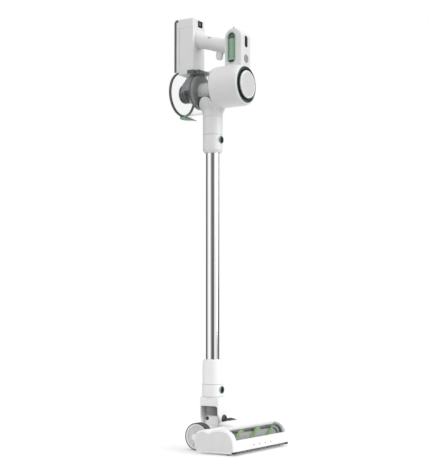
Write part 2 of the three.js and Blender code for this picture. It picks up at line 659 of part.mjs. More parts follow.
function batteryCells() {
  const rods = [-78, -58].flatMap((f) => [-10, 10].map((x) => rod(9, 957, 1064, "z", [x, f], SMALL)));
  const holders = [958, 1060].map((z) => block(-21, 21, -88.5, -48, z, z + 3));
  return joined([...holders, ...rods]);
}

// Clip round the column's foot that holds the top of the cup.
function cupBracket() {
  const front = prism([[COLUMN_FRONT + GAP, 931.1], [-12, 931.1], [-14, 937], [-20, 940.5],
    [COLUMN_FRONT + GAP, 940.5]], -24, 24, "x");
  const cheek = COLUMN_HALF + GAP;
  const arms = SIDES.map(([, s]) => block(...span(s, cheek, cheek + 2), -58, COLUMN_FRONT + 4, 931.1, 940.5));
  const bridge = block(-cheek - 2, cheek + 2, COLUMN_FRONT + GAP, COLUMN_FRONT + 4, 931.1, 940.5);
  return joined([front, bridge, ...arms]);
}

function lidRim() {
  const ring = pipe(CUP_R, 52.6, LID_FROM, LID_TO, "f", [0, CUP_Z], FINE);
  const barrel = rod(3.1, -7.6, 7.6, "x", [LID_PIN_F, LID_PIN_Z], SMALL);
  const neck = block(-7.6, 7.6, LID_PIN_F + 0.8, LID_PIN_F + 3, 940, LID_PIN_Z);
  return joined([ring, barrel, neck]).subtract(rod(1.8, -9, 9, "x", [LID_PIN_F, LID_PIN_Z], SMALL));
}

function lidLatch() {
  const lever = [[-94.5, 828.2], [-76, 828.2], [-71, 826.5], [-66, 821.5], [-54, 817.6], [-54, 815.2],
    [-68, 817.2], [-80, 817.7], [-90, 820.2], [-94.5, 824]];
  return prism(lever, -9, 9, "x").subtract(rod(1.9, -12, 12, "x", [LATCH_F, LATCH_Z], SMALL));
}

function buildHandheld() {
  const fan = [0, FAN_Z];
  piece("neck_funnel", neckFunnel(), WHITE);
  piece("motor_housing", motorHousing(), WHITE);
  piece("front_housing", frontHousing(), WHITE);
  piece("handle_grip", handleGrip(), WHITE);
  piece("fan_motor", turned([[0, 29], [3, 29], [3, 42], [24, 42], [24, 54], [48.6, 54], [48.6, 57], [24, 57],
    [24, 76], [0, 76]], "f", fan, FINE), STEEL);
  piece("impeller", turned([[3.3, 26], [9, 26], [13, 36], [31, 37], [31, 40], [3.3, 40], [3.3, 26]],
    "f", fan, FINE), MID_GREY);
  piece("pre_filter", rod(44, 20.5, 25.6, "f", fan, FINE), FILTER);
  piece("exhaust_ring", turned([[37.3, 90], [47.2, 90], [47.2, 98.2], [45.5, 99.8], [39.5, 99], [37.3, 96.5],
    [37.3, 90]], "f", fan, FINE), DEEP_GREEN);
  const cap = [[0, 93], [36.8, 93], [36.8, 102.3], [35.4, 103.8], [0, 104.6]];
  piece("exhaust_cap", turned(cap, "f", fan, FINE), WHITE);
  piece("exhaust_filter", pipe(36, 14, 79, 92.6, "f", fan, FINE), FILTER);

  for (const [name, side] of SIDES) {
    piece("side_window_" + name, prism(podWindow(GAP), ...span(side, 18.8, 23.3), "x"), SAGE);
  }
  piece("status_lens", prism(statusSlot(GAP), 95.5, 97.8, "f"), GLOSS_BLACK);
  piece("mode_button", rod(10.2, 94, 98.9, "f", [0, MODE_Z], MID), MID_GREY);
  piece("trigger", trigger(), WHITE);
  piece("thumb_button", thumbPlug(14.8, 18.8, 0), WHITE);

  piece("column_shell", columnShell(), WHITE);
  piece("column_cap", columnCap(), WHITE);
  piece("column_back", columnBack(), DARK_GREY);
  piece("battery_cells", batteryCells(), SAGE);
  const [x0, x1, z0, z1] = DISPLAY;
  piece("display_panel", block(x0, x1, COLUMN_FRONT - 2.2, COLUMN_FRONT + 0.2, z0, z1), GLOSS_BLACK);

  piece("dust_cup", dustCup(), CLEAR);
  piece("cyclone_drum", cyclone(), SMOKE);
  piece("cyclone_core", pipe(22.8, 20.4, -22.6, 15, "f", [0, CUP_Z], FINE), SMOKE);
  piece("cup_bracket", cupBracket(), DARK_GREY);
  piece("lid_rim", lidRim(), DARK_GREY);
  piece("lid_window", rod(52.3, -93.5, -91.5, "f", [0, CUP_Z], FINE), CLEAR);
  piece("lid_latch", lidLatch(), SAGE);
}

buildFloorHead();
buildWheels();
buildNeckJoint();
buildWand();
buildHandheld();

export default group;
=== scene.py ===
import json
import math
import random

import bmesh
import bpy
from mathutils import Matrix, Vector


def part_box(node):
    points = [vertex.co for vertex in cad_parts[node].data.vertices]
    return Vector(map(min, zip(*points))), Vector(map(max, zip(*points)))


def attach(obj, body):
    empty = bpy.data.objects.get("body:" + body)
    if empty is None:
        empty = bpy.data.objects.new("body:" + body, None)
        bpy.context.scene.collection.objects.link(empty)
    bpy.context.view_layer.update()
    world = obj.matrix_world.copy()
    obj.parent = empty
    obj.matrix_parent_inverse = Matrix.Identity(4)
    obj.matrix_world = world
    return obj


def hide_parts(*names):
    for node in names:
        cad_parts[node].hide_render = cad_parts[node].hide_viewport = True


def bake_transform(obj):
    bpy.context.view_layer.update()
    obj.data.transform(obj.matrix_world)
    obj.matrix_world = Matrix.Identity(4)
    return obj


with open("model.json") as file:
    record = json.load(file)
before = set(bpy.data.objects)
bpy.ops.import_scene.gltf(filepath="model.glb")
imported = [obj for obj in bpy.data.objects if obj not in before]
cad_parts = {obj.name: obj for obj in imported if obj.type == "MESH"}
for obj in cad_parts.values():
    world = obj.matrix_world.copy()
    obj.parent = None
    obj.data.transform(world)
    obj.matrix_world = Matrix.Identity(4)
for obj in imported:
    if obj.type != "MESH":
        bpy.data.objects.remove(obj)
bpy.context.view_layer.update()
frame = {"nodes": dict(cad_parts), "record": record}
random.seed(7)

# Lengths are in millimetres as (x, f, z), where f runs forwards from the wand's axis.
SETBACK = 21.5  # from the wand's axis to the frame's origin
ROUND = 72  # segments of a turned piece
WAND = (0, 0)  # the wand's axis
SIDES = (("left", -1), ("right", 1))


def to_frame(x, f, z):
    return Vector((x, SETBACK - f, z)) * 0.001


def extent(node):
    """x0, x1, f0, f1, z0, z1 of a CAD node."""
    lo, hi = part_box(node)
    return (lo.x * 1000, hi.x * 1000, SETBACK - hi.y * 1000, SETBACK - lo.y * 1000,
            lo.z * 1000, hi.z * 1000)


def middle(node):
    x0, x1, f0, f1, z0, z1 = extent(node)
    return (x0 + x1) / 2, (f0 + f1) / 2, (z0 + z1) / 2


def span(s, near, far):
    """The x limits, in rising order, of what lies from near to far on the side of sign s."""
    return sorted((near * s, far * s))


# ---- materials ----
def srgb(*rgb):
    """The linear colour of screen values from 0 to 255."""
    return tuple((v / 255 / 12.92) if v <= 10 else ((v / 255 + 0.055) / 1.055) ** 2.4 for v in rgb) + (1.0,)


def shaded(color, gain):
    """The colour made lighter or darker, with full opacity."""
    return tuple(min(1.0, c * gain) for c in color[:3]) + (1.0,)


class Graph:
    """A node tree with small helpers for the maps in it."""

    def __init__(self, tree, coordinates):
        self.tree = tree
        self.coordinates = self.node("ShaderNodeTexCoord").outputs[coordinates]

    def node(self, kind, **settings):
        made = self.tree.nodes.new(kind)
        for key, value in settings.items():
            setattr(made, key, value)
        return made

    def link(self, a, b):
        self.tree.links.new(a, b)

    def stretched(self, x, y, z):
        mapping = self.node("ShaderNodeMapping")
        mapping.inputs["Scale"].default_value = (x, y, z)
        self.link(self.coordinates, mapping.inputs["Vector"])
        return mapping.outputs["Vector"]

    def noise(self, scale, detail=2.0, where=None):
        texture = self.node("ShaderNodeTexNoise")
        texture.inputs["Scale"].default_value = scale
        texture.inputs["Detail"].default_value = detail
        self.link(where or self.coordinates, texture.inputs["Vector"])
        return texture.outputs["Fac"]

    def ramp(self, value, stops, interpolation="LINEAR"):
        ramp = self.node("ShaderNodeValToRGB")
        ramp.color_ramp.interpolation = interpolation
        while len(ramp.color_ramp.elements) < len(stops):
            ramp.color_ramp.elements.new(0.5)
        for element, (at, color) in zip(ramp.color_ramp.elements, stops):
            element.position = at
            element.color = color
        self.link(value, ramp.inputs["Fac"])
        return ramp.outputs["Color"]

    def tones(self, value, low, high, spread=0.2):
        """Runs from one colour to another across the middle of a map's range."""
        return self.ramp(value, [(0.5 - spread, low), (0.5 + spread, high)])

    def rescale(self, value, low, high, start=0.3, end=0.7):
        remap = self.node("ShaderNodeMapRange")
        for key, number in (("From Min", start), ("From Max", end), ("To Min", low), ("To Max", high)):
            remap.inputs[key].default_value = number
        self.link(value, remap.inputs["Value"])
        return remap.outputs["Result"]

    def blend(self, factor, first, second):
        mix = self.node("ShaderNodeMix", data_type="RGBA")
        self.link(factor, mix.inputs[0])
        for socket, value in ((mix.inputs[6], first), (mix.inputs[7], second)):
            if isinstance(value, tuple):
                socket.default_value = value
            else:
                self.link(value, socket)
        return mix.outputs[2]


class Look(Graph):
    """A node material whose maps run in the object's own coordinates."""

    def __init__(self, name):
        self.material = bpy.data.materials.new(name)
        self.material.use_nodes = True
        super().__init__(self.material.node_tree, "Object")
        self.shader = self.tree.nodes["Principled BSDF"]

    def bump(self, height, distance, strength=1.0):
        bump = self.node("ShaderNodeBump")
        bump.inputs["Distance"].default_value = distance
        bump.inputs["Strength"].default_value = strength
        self.link(height, bump.inputs["Height"])
        self.link(bump.outputs["Normal"], self.shader.inputs["Normal"])

    def drive(self, color, roughness):
        self.link(color, self.shader.inputs["Base Color"])
        self.link(roughness, self.shader.inputs["Roughness"])

    def set(self, **values):
        for key, value in values.items():
            self.shader.inputs[key.replace("_", " ")].default_value = value


def plastic(name, color, rough, grain=900, relief=0.00006, shift=0.03, wear=1.06, coat=0.0):
    """Moulded plastic: faint mottling, fine mould texture and slightly rubbed edges."""
    look, color = Look(name), srgb(*color)
    body = look.tones(look.noise(38, 3.0), shaded(color, 1 - shift), shaded(color, 1 + shift))
    edge = look.rescale(look.node("ShaderNodeNewGeometry").outputs["Pointiness"], 0.0, 1.0, 0.53, 0.62)
    look.drive(look.blend(edge, body, shaded(color, wear)),
               look.rescale(look.noise(160), rough * 0.85, rough * 1.2))
    look.bump(look.noise(grain), relief, 0.5)
    look.set(Coat_Weight=coat, Coat_Roughness=0.08)
    return name, look.material


def metal(name, color, rough, streaks):
    """Metal with fine drawing lines, which streaks stretches along x, y and z."""
    look = Look(name)
    lines = look.noise(60, 3.0, look.stretched(*streaks))
    look.drive(look.tones(lines, shaded(color, 0.97), shaded(color, 1.02)),
               look.rescale(lines, rough * 0.75, rough * 1.3))
    look.bump(lines, 0.00001, 0.2)
    look.set(Metallic=1.0)
    return name, look.material


def clear_plastic(name, tint, rough, body):
    """See-through plastic: more reflective at a glancing view, with a trace of tint and haze."""
    look = Look(name)
    look.drive(look.tones(look.noise(25), shaded(tint, 0.96), tint),
               look.rescale(look.noise(120), rough * 0.7, rough * 1.4))
    weight = look.node("ShaderNodeLayerWeight")
    weight.inputs["Blend"].default_value = 0.5
    glass = look.node("ShaderNodeBsdfTransparent")
    glass.inputs["Color"].default_value = (0.985, 0.987, 0.987, 1.0)
    mix = look.node("ShaderNodeMixShader")
    at_edge, edge_from = 0.45, 0.6
    look.link(look.rescale(weight.outputs["Facing"], body, at_edge, edge_from, 1.0), mix.inputs["Fac"])
    look.link(glass.outputs["BSDF"], mix.inputs[1])
    look.link(look.shader.outputs["BSDF"], mix.inputs[2])
    look.link(mix.outputs["Shader"], look.tree.nodes["Material Output"].inputs["Surface"])
    return name, look.material


def nap(name, low, high, scale, relief):
    """Short pile, bristle or filter fleece."""
    look = Look(name)
    hairs = look.noise(scale, 4.0)
    look.drive(look.tones(hairs, srgb(*low), srgb(*high), 0.18), look.rescale(look.noise(90), 0.75, 0.95))
    look.bump(hairs, relief, 0.8)
    look.set(Sheen_Weight=0.25, Sheen_Roughness=0.5)
    return name, look.material


LOOKS = dict([
    plastic("white_abs", (234, 234, 234), 0.34, shift=0.012, wear=1.03, coat=0.12),
    plastic("light_grey", (212, 212, 212), 0.5, relief=0.00012),
    plastic("mid_grey", (150, 153, 155), 0.5, relief=0.00012),
    plastic("dark_grey", (92, 95, 97), 0.42, relief=0.0001, wear=1.25),
    plastic("hose", (150, 152, 153), 0.62, relief=0.0001, shift=0.06),
    plastic("rubber", (62, 64, 66), 0.75, grain=700, relief=0.00015, wear=1.3),
    plastic("tyre", (74, 75, 76), 0.7, grain=600, relief=0.0002, wear=1.3),
    plastic("sage", (138, 172, 148), 0.2, shift=0.05, coat=0.6),
    plastic("gloss_black", (14, 17, 16), 0.2, relief=0.00002, wear=2.0, coat=0.15),
    plastic("deep_green", (34, 58, 45), 0.14, relief=0.00002, shift=0.1, wear=1.8, coat=0.7),
    clear_plastic("clear", (0.62, 0.63, 0.63, 1.0), 0.04, 0.012),
    plastic("smoke", (134, 135, 136), 0.3, shift=0.08, wear=1.3, coat=0.4),
    metal("bright_metal", (0.86, 0.86, 0.865, 1.0), 0.08, (30, 30, 0.4)),
    metal("steel", (0.62, 0.63, 0.64, 1.0), 0.36, (1, 12, 12)),
    nap("bristle", (112, 158, 84), (176, 208, 146), 1500, 0.0006),
    nap("filter", (206, 204, 196), (238, 236, 228), 700, 0.0006),
    plastic("cells", (120, 160, 134), 0.4),
    # looks for pieces that differ from the rest of their slot, among them painted shade and painted highlight
    nap("roller_pile", (126, 128, 128), (174, 176, 175), 1100, 0.0006),
    # a darker copy of smoke: painted shade under the cyclone
    plastic("cyclone_painted_shade", (96, 98, 100), 0.3, shift=0.08, wear=1.3, coat=0.4),
    plastic("cyclone_light", (216, 216, 217), 0.28, shift=0.05, coat=0.4),
    # dark green painted shade for the top of the side windows
    plastic("painted_shade_green", (54, 76, 62), 0.25, shift=0.12, coat=0.5),
    # pale green painted highlight, on the side window rims and a strip across each lens
    plastic("painted_highlight", (206, 226, 210), 0.15, shift=0.03, coat=0.6),
    plastic("disc", (241, 241, 241), 0.4, shift=0.015),
    plastic("seam", (150, 153, 155), 0.6),
])
for subpart in frame["record"]["subparts"]:
    node = frame["nodes"][subpart["node"]]
    node.data.materials.clear()
    node.data.materials.append(LOOKS[subpart["material_slot"]])


# ---- outlines ----
def soft(points, radius=0.0, closed=True, steps=5):
    """Rounds the corners of an outline. A point may carry its own radius as a third number."""
    done = []
    count = len(points)
    for i, point in enumerate(points):
        here = Vector(point[:2])
        r = point[2] if len(point) > 2 else radius
        if r <= 0 or (not closed and i in (0, count - 1)):
            done.append(tuple(here))
            continue
        before = Vector(points[i - 1][:2]) - here
        after = Vector(points[(i + 1) % count][:2]) - here
        half = before.angle(after, math.pi) / 2
        reach = min(r / max(math.tan(half), 0.05), 0.48 * before.length, 0.48 * after.length)
        start, end = here + before.normalized() * reach, here + after.normalized() * reach
        for k in range(steps + 1):
            t = k / steps
            done.append(tuple(start * (1 - t) ** 2 + here * 2 * t * (1 - t) + end * t * t))
    return done


def rect(u0, u1, v0, v1, radius=0.0, steps=6):
    return soft([(u0, v0), (u1, v0), (u1, v1), (u0, v1)], radius, True, steps)


def arc(u, v, r, start, end, steps):
    turns = [math.radians(start + (end - start) * i / steps) for i in range(steps + 1)]
    return [(u + r * math.cos(a), v + r * math.sin(a)) for a in turns]


def stadium(u0, u1, v0, v1, steps=14):
    r = min(u1 - u0, v1 - v0) / 2
    if v1 - v0 >= u1 - u0:
        return arc((u0 + u1) / 2, v1 - r, r, 0, 180, steps) + arc((u0 + u1) / 2, v0 + r, r, 180, 360, steps)
    return arc(u1 - r, (v0 + v1) / 2, r, -90, 90, steps) + arc(u0 + r, (v0 + v1) / 2, r, 90, 270, steps)


def curve_through(points, steps=6):
    """A Catmull-Rom curve through the points."""
    done = []
    for i in range(len(points) - 1):
        p = [Vector(points[max(0, min(len(points) - 1, i + k))]) for k in (-1, 0, 1, 2)]
        for k in range(steps):
            t = k / steps
            done.append(tuple(0.5 * (2 * p[1] + (p[2] - p[0]) * t
                                     + (2 * p[0] - 5 * p[1] + 4 * p[2] - p[3]) * t * t
                                     + (3 * p[1] - 3 * p[2] + p[3] - p[0]) * t ** 3)))
    return done + [tuple(points[-1])]


def inset(points, depth):
    """The outline moved inwards by depth at every point."""
    if abs(depth) < 1e-6:
        return list(points)
    area = sum(a[0] * b[1] - b[0] * a[1] for a, b in zip(points, points[1:] + points[:1]))
    turn = 1 if area > 0 else -1
    done = []
    for i, point in enumerate(points):
        here = Vector(point)
        a = (here - Vector(points[i - 1])).normalized()
        b = (Vector(points[(i + 1) % len(points)]) - here).normalized()
        normal = Vector((-a.y - b.y, a.x + b.x)) * turn
        if normal.length < 1e-6:
            normal = Vector((-a.y, a.x)) * turn
        normal.normalize()
        lean = max(0.4, normal.dot(Vector((-a.y, a.x)) * turn))
        done.append(tuple(here + normal * depth / lean))
    return done


# ---- mesh tools ----
def add(name, data):
    made = bpy.data.objects.new(name, data)
    bpy.context.scene.collection.objects.link(made)
    return made


def build(name, make):
    mesh = bmesh.new()
    make(mesh)
    bmesh.ops.remove_doubles(mesh, verts=mesh.verts, dist=1e-7)
    bmesh.ops.recalc_face_normals(mesh, faces=mesh.faces)
    data = bpy.data.meshes.new(name)
    mesh.to_mesh(data)
    mesh.free()
    return add(name, data)


def skin(mesh, rings, closed=False):
    """Joins neighbouring rings of points. A ring of one point is a pole."""
    rows = [[mesh.verts.new(to_frame(*p)) for p in ring] for ring in rings]
    pairs = list(zip(rows, rows[1:]))
    if closed:
        pairs.append((rows[-1], rows[0]))
    for a, b in pairs:
        count = max(len(a), len(b))
        if count == 1:
            continue
        for i in range(count):
            j = (i + 1) % count
            corners = [a[i % len(a)], a[j % len(a)], b[j % len(b)], b[i % len(b)]]
            mesh.faces.new(list(dict.fromkeys(corners)))
    return rows


def facing(along, centre, u, w, t):
    """The point t along an axis, and u and w to its sides."""
    a, b = centre
    return {"x": (t, a + u, b + w), "f": (a + u, t, b + w), "z": (a + u, b + w, t)}[along]


def loft(name, rings, closed=False, caps=False):
    """A solid through rings of points. Closed joins the last ring to the first, and caps fill both ends."""
    def make(mesh):
        rows = skin(mesh, rings, closed)
        for row in (rows[0], rows[-1]) if caps else ():
            mesh.faces.new(row)
    return build(name, make)


def lathe(name, profile, along, centre=(0, 0), segments=ROUND, wobble=None):
    """Turns (radius, place along the axis) points. A profile that leaves the axis is closed on itself."""
    rings = []
    for r, t in profile:
        if r < 1e-4:
            rings.append([facing(along, centre, 0, 0, t)])
            continue
        ring = []
        for i in range(segments):
            a = 2 * math.pi * i / segments
            radius = wobble(r, t, i) if wobble else r
            ring.append(facing(along, centre, radius * math.sin(a), radius * math.cos(a), t))
        rings.append(ring)
    return loft(name, rings, closed=profile[0][0] > 1e-4)


def disc(name, radius, start, end, along, centre=(0, 0), edge=0.5, segments=ROUND):
    profile = soft([(0, start, 0), (radius, start), (radius, end), (0, end, 0)], edge, closed=False)
    return lathe(name, profile, along, centre, segments)


def bore(radius, start, end, along, centre, segments=ROUND):
    return disc("cut", radius, start, end, along, centre, 0, segments)


def tube(name, outer, inner, start, end, along, centre=(0, 0), edge=0.5, segments=ROUND):
    profile = soft([(inner, start), (outer, start), (outer, end), (inner, end)], edge)
    return lathe(name, profile, along, centre, segments)


def slab(name, outline, start, end, along, edge=0.0, steps=4):
    """An outline pushed along an axis, with both ends' edges rounded."""
    stations = []
    for k in range(steps + 1 if edge else 1):
        a = math.radians(90 * k / steps)
        stations.append((start + edge * (1 - math.cos(a)), edge * (1 - math.sin(a))))
    stations += [(end - (w - start), d) for w, d in reversed(stations)]
    rings = [[facing(along, (0, 0), u, v, w) for u, v in inset(outline, d)] for w, d in stations]
    return loft(name, rings, caps=True)


def box(x0, x1, f0, f1, z0, z1, radius=0.0):
    return slab("cut", rect(f0, f1, z0, z1, radius), x0, x1, "x")


def settle(piece):
    """Makes a piece's modifiers part of its mesh."""
    done = bpy.data.meshes.new_from_object(piece.evaluated_get(bpy.context.evaluated_depsgraph_get()))
    piece.modifiers.clear()
    piece.data = done
    return piece


def combine(piece, others, operation):
    for other in others:
        step = piece.modifiers.new("combine", "BOOLEAN")
        step.operation, step.object, step.solver = operation, other, "MANIFOLD"
        settle(piece)
        bpy.data.objects.remove(other)
    return piece


def cut(piece, *others):
    return combine(piece, others, "DIFFERENCE")


def fuse(piece, *others):
    return combine(piece, others, "UNION")


def round_edges(piece, width, steps, level=None):
    """Rounds the sharp edges, or only those at one height."""
    mesh = bmesh.new()
    mesh.from_mesh(piece.data)
    edges = [e for e in mesh.edges if e.calc_face_angle(0) > 0.6
             and (level is None or all(abs(v.co.z * 1000 - level) < 0.1 for v in e.verts))]
    bmesh.ops.bevel(mesh, geom=edges, offset=width / 1000, segments=steps, profile=0.5, affect="EDGES")
    mesh.to_mesh(piece.data)
    mesh.free()


def melt(piece, voxel, rounds):
    """Fuses overlapping solids into one skin whose inner corners are filleted."""
    step = piece.modifiers.new("melt", "REMESH")
    step.mode, step.voxel_size, step.use_smooth_shade = "VOXEL", voxel / 1000, True
    relax = piece.modifiers.new("relax", "SMOOTH")
    relax.factor, relax.iterations = 0.5, rounds
    return settle(piece)


def finish_piece(piece, slot, *replaced, look=None, angle=32):
    """Gives a piece the material of its look or slot and its shading, and hides the CAD nodes it stands for.
    """
    piece.data.materials.clear()
    piece.data.materials.append(LOOKS[look or slot])
    piece.data.shade_smooth()
    piece.data.set_sharp_from_angle(angle=math.radians(angle))
    if replaced:
        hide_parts(*replaced)


def place(piece, body, slot, *replaced, **options):
    finish_piece(piece, slot, *replaced, **options)
    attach(piece, body)


# ---- floor head ----
SOLE_Z, NOSE_F, TAIL_F, HUMP_F, HUMP_Z = 3.5, 142.0, 29.5, 103.0, 59.3
UNDER, OVER, FAR = -5, 90, 200  # below, above and beyond the head, where its cuts end
SPLIT_Z, GAP = 33.0, 0.25  # the cover meets the base here, with this gap
COVER_F, SADDLE_X, SADDLE_Z = 54.0, 38.0, 54.0  # the cover's back, and the saddle that goes on from it
HEAD_END, HEAD_EDGE = 130.9, 5.5
ROLLER = (105.0, 27.0)
CHAMBER, CHAMBER_R, CHAMBER_X = (105.0, 28.0), 26.3, 111
WINDOW, WINDOW_X = (105.5, 30.0), 117.0
AXLE = middle("wheel_tyre_left")[1:]
AXLE_BORE = 7.3
WHEEL_IN, WHEEL_OUT, BAY_OUT = 57.0, 81.0, 84.5
CHEEK = (28.8, 38)  # the plates that carry the neck's trunnions
CASTOR_PIN = (120, 5)
LAMPS = [(27 * (k - 1.5), 18.5) for k in range(4)]


def bezier(a, b, c, steps):
    return [tuple((1 - t) ** 2 * p + 2 * t * (1 - t) * q + t * t * r for p, q, r in zip(a, b, c))
            for t in (k / steps for k in range(1, steps + 1))]


def head_outline():
    bends = [((NOSE_F - 12, SOLE_Z), (NOSE_F, SOLE_Z), (NOSE_F, 16)),
             ((NOSE_F, 16), (NOSE_F, HUMP_Z), (HUMP_F, HUMP_Z)),
             ((HUMP_F, HUMP_Z), (87, HUMP_Z), (79, 54.5)),
             ((79, 54.5), (74, 50.5), (68, 53.2)),
             ((68, 53.2), (61.5, 56.3), (54, 56.3)),
             ((54, 56.3), (TAIL_F, 53), (TAIL_F, 33)),
             ((TAIL_F, 33), (TAIL_F, SOLE_Z), (TAIL_F + 15, SOLE_Z))]
    points = [(NOSE_F - 12, SOLE_Z)]
    for a, b, c in bends:
        points += bezier(a, b, c, 10)
    return points


def window_sector(name, inner, outer, start, end, half):
    outline = arc(*WINDOW, outer, start, end, 28) + arc(*WINDOW, inner, end, start, 28)
    return slab(name, outline, -half, half, "x")


def head_cavities():
    roller_chamber = bore(CHAMBER_R, -CHAMBER_X, CHAMBER_X, "x", CHAMBER)
    mouth = box(-CHAMBER_X, CHAMBER_X, 82, 127, UNDER, 16)
    duct = box(-19, 19, 30, 84, 14, 42)
    motor_bay = bore(9.4, 53, 110, "x", middle("motor_pulley")[1:], 32)
    belt_bay = box(113, 124, 58, 120, 14, 40, 8)
    knuckle_bay = bore(23, -CHEEK[0], CHEEK[0], "x", AXLE)
    opening = window_sector("cut", 20, 60, 8, 86, WINDOW_X + 0.3)
    return [roller_chamber, mouth, duct, motor_bay, belt_bay, knuckle_bay, opening]


def build_cover():
    cover = slab("floor_cover", head_outline(), -HEAD_END, HEAD_END, "x", HEAD_EDGE, 6)
    saddle = soft([(39, 33.2), (39, 62), (45, 66.3), (53, 66.3), (80, 60.5), (95, 55), (95, 33.2)], 5)
    fuse(cover, slab("saddle", saddle, -SADDLE_X, SADDLE_X, "x", 7, 6))
    back = COVER_F + GAP
    cut(cover, box(-FAR, FAR, 0, FAR, UNDER, SPLIT_Z + GAP), box(-FAR, FAR, -10, back, UNDER, SADDLE_Z),
        *[box(*span(s, SADDLE_X + 0.2, FAR), -10, back, UNDER, OVER) for _, s in SIDES], *head_cavities())
    place(cover, "floor_head", "white_abs", "head_cover")


def build_base():
    base = slab("floor_base", head_outline(), -HEAD_END, HEAD_END, "x", HEAD_EDGE, 6)
    cut(base, box(-FAR, FAR, COVER_F, FAR, SPLIT_Z, OVER),
        box(-SADDLE_X - 0.3, SADDLE_X + 0.3, 38.7, 60, SPLIT_Z, OVER), box(-50, 50, 0, 48, UNDER, OVER))
    for _, s in SIDES:
        cheek = span(s, *CHEEK)
        arm = rect(AXLE[0] - 7, 42, AXLE[1] - 7, AXLE[1] + 7, 6.9)
        cut(base, box(*span(s, 48, BAY_OUT), -10, AXLE[0] + 36, UNDER, OVER, 5))
        fuse(base, slab("cheek", rect(AXLE[0], 50, 15, SPLIT_Z), *cheek, "x", 1),
             disc("cheek", 20, *cheek, "x", AXLE, 2),
             disc("stub", 4, *span(s, WHEEL_IN + 0.5, BAY_OUT + 2), "x", AXLE, 0.4, 32),
             slab("arm", arm, *span(s, BAY_OUT, BAY_OUT + 6), "x", 1),
             box(*cheek, AXLE[0], 38, SPLIT_Z - 1, AXLE[1] + 16, 3))
    fuse(base, box(-CHEEK[1], CHEEK[1], 28, 50, 5, 9), box(-CHEEK[1], CHEEK[1], 40, 50, 5, SPLIT_Z))
    cut(base, *head_cavities(), bore(AXLE_BORE, -40, 40, "x", AXLE, 32),
        box(-FAR, FAR, 132.7, 150, UNDER, 9),
        *[box(*span(s, 114, 123), 114.4, 125.6, UNDER, 10.7) for _, s in SIDES],
        *[bore(1.9, 137, 145, "f", lamp, 24) for lamp in LAMPS])
    fuse(base, *[disc("pin", 1.3, *span(s, 113, 124), "x", CASTOR_PIN, 0.2, 24) for _, s in SIDES])
    place(base, "floor_head", "white_abs", "head_base")


def build_head_trim():
    for name, s in SIDES:
        plate = slab("end_panel_" + name, inset(head_outline(), 4.2), *span(s, HEAD_END - 2, HEAD_END + 0.1),
                     "x", 0.8)
        place(plate, "floor_head", "light_grey", "end_plate_" + name)
    window = window_sector("roller_window", 26.4, 28.2, 8.6, 85, WINDOW_X)
    place(window, "floor_head", "clear", "brush_window")
    for name, s in SIDES:
        outline = arc(*WINDOW, 25.7, 9, 85, 20) + arc(*WINDOW, 20.6, 85, 9, 20)
        shield = slab("window_end_" + name, outline, *span(s, CHAMBER_X + 0.3, WINDOW_X), "x")
        place(shield, "floor_head", "dark_grey")
    waves = [(x, 5.2 + 1.7 * math.cos(x * math.pi / 9.5)) for x in range(-124, 125)]
    bumper = slab("front_strip", [(-124, 9.6), *waves, (124, 9.6)], 133, 140.4, "f", 0.6)
    place(bumper, "floor_head", "dark_grey", "front_bumper")
    for name, s in SIDES:
        catch = slab("corner_catch_" + name, rect(*span(s, 114, 127), 4, 9.4, 1.5), 134, 141.2, "f", 0.8)
        place(catch, "floor_head", "rubber")
    for k, lamp in enumerate(LAMPS):
        place(disc(f"lamp_lens_{k + 1}", 1.75, 139, 142.4, "f", lamp, 0.8, 32), "floor_head", "dark_grey")


# ---- roller ----
BRUSH_X, CORE_R, TIP_R = 109.0, 17.5, 24.2
STRIP_PITCH = 316.0
TUFTS = 104


def strip_point(u, r, a):
    return (u, ROLLER[0] + r * math.cos(a), ROLLER[1] + r * math.sin(a))


def tuft(u, a, top, lean):
    """Rings of a four-sided tuft, from the core to its leaning tip."""
    rings = [[strip_point(u - 0.8, r, a - w), strip_point(u + 0.8, r, a - w),
              strip_point(u + 0.8 + d, r, a + w), strip_point(u - 0.8 + d, r, a + w)]
             for r, w, d in ((CORE_R, 0.035, 0), (top - 1, 0.03, lean))]
    return rings + [[strip_point(u + lean, top, a)]]


def bristle_strip(name, turn):
    """A low rail wound round the core, with three rows of tufts on it."""
    rail = ((-0.6, -0.16), (0.9, -0.15), (0.9, 0.15), (-0.6, 0.16))

    def make(mesh):
        rings = []
        steps = 90
        for k in range(steps + 1):
            u = -BRUSH_X + 1 + k * (2 * BRUSH_X - 2) / steps
            a = turn + 2 * math.pi * u / STRIP_PITCH
            rings.append([strip_point(u, CORE_R + rise, a + side) for rise, side in rail])
        rows = skin(mesh, rings)
        mesh.faces.new(rows[0])
        mesh.faces.new(rows[-1])
        for k in range(TUFTS):
            for lane in (-0.08, 0.0, 0.08):
                u = -BRUSH_X + 3 + k * (2 * BRUSH_X - 6) / (TUFTS - 1)
                a = turn + 2 * math.pi * u / STRIP_PITCH + lane + random.uniform(-0.01, 0.01)
                top = TIP_R - random.uniform(0, 0.7)
                skin(mesh, tuft(u, a, top, random.uniform(-0.5, 0.5)))
        bmesh.ops.holes_fill(mesh, edges=mesh.edges, sides=4)
    return build(name, make)


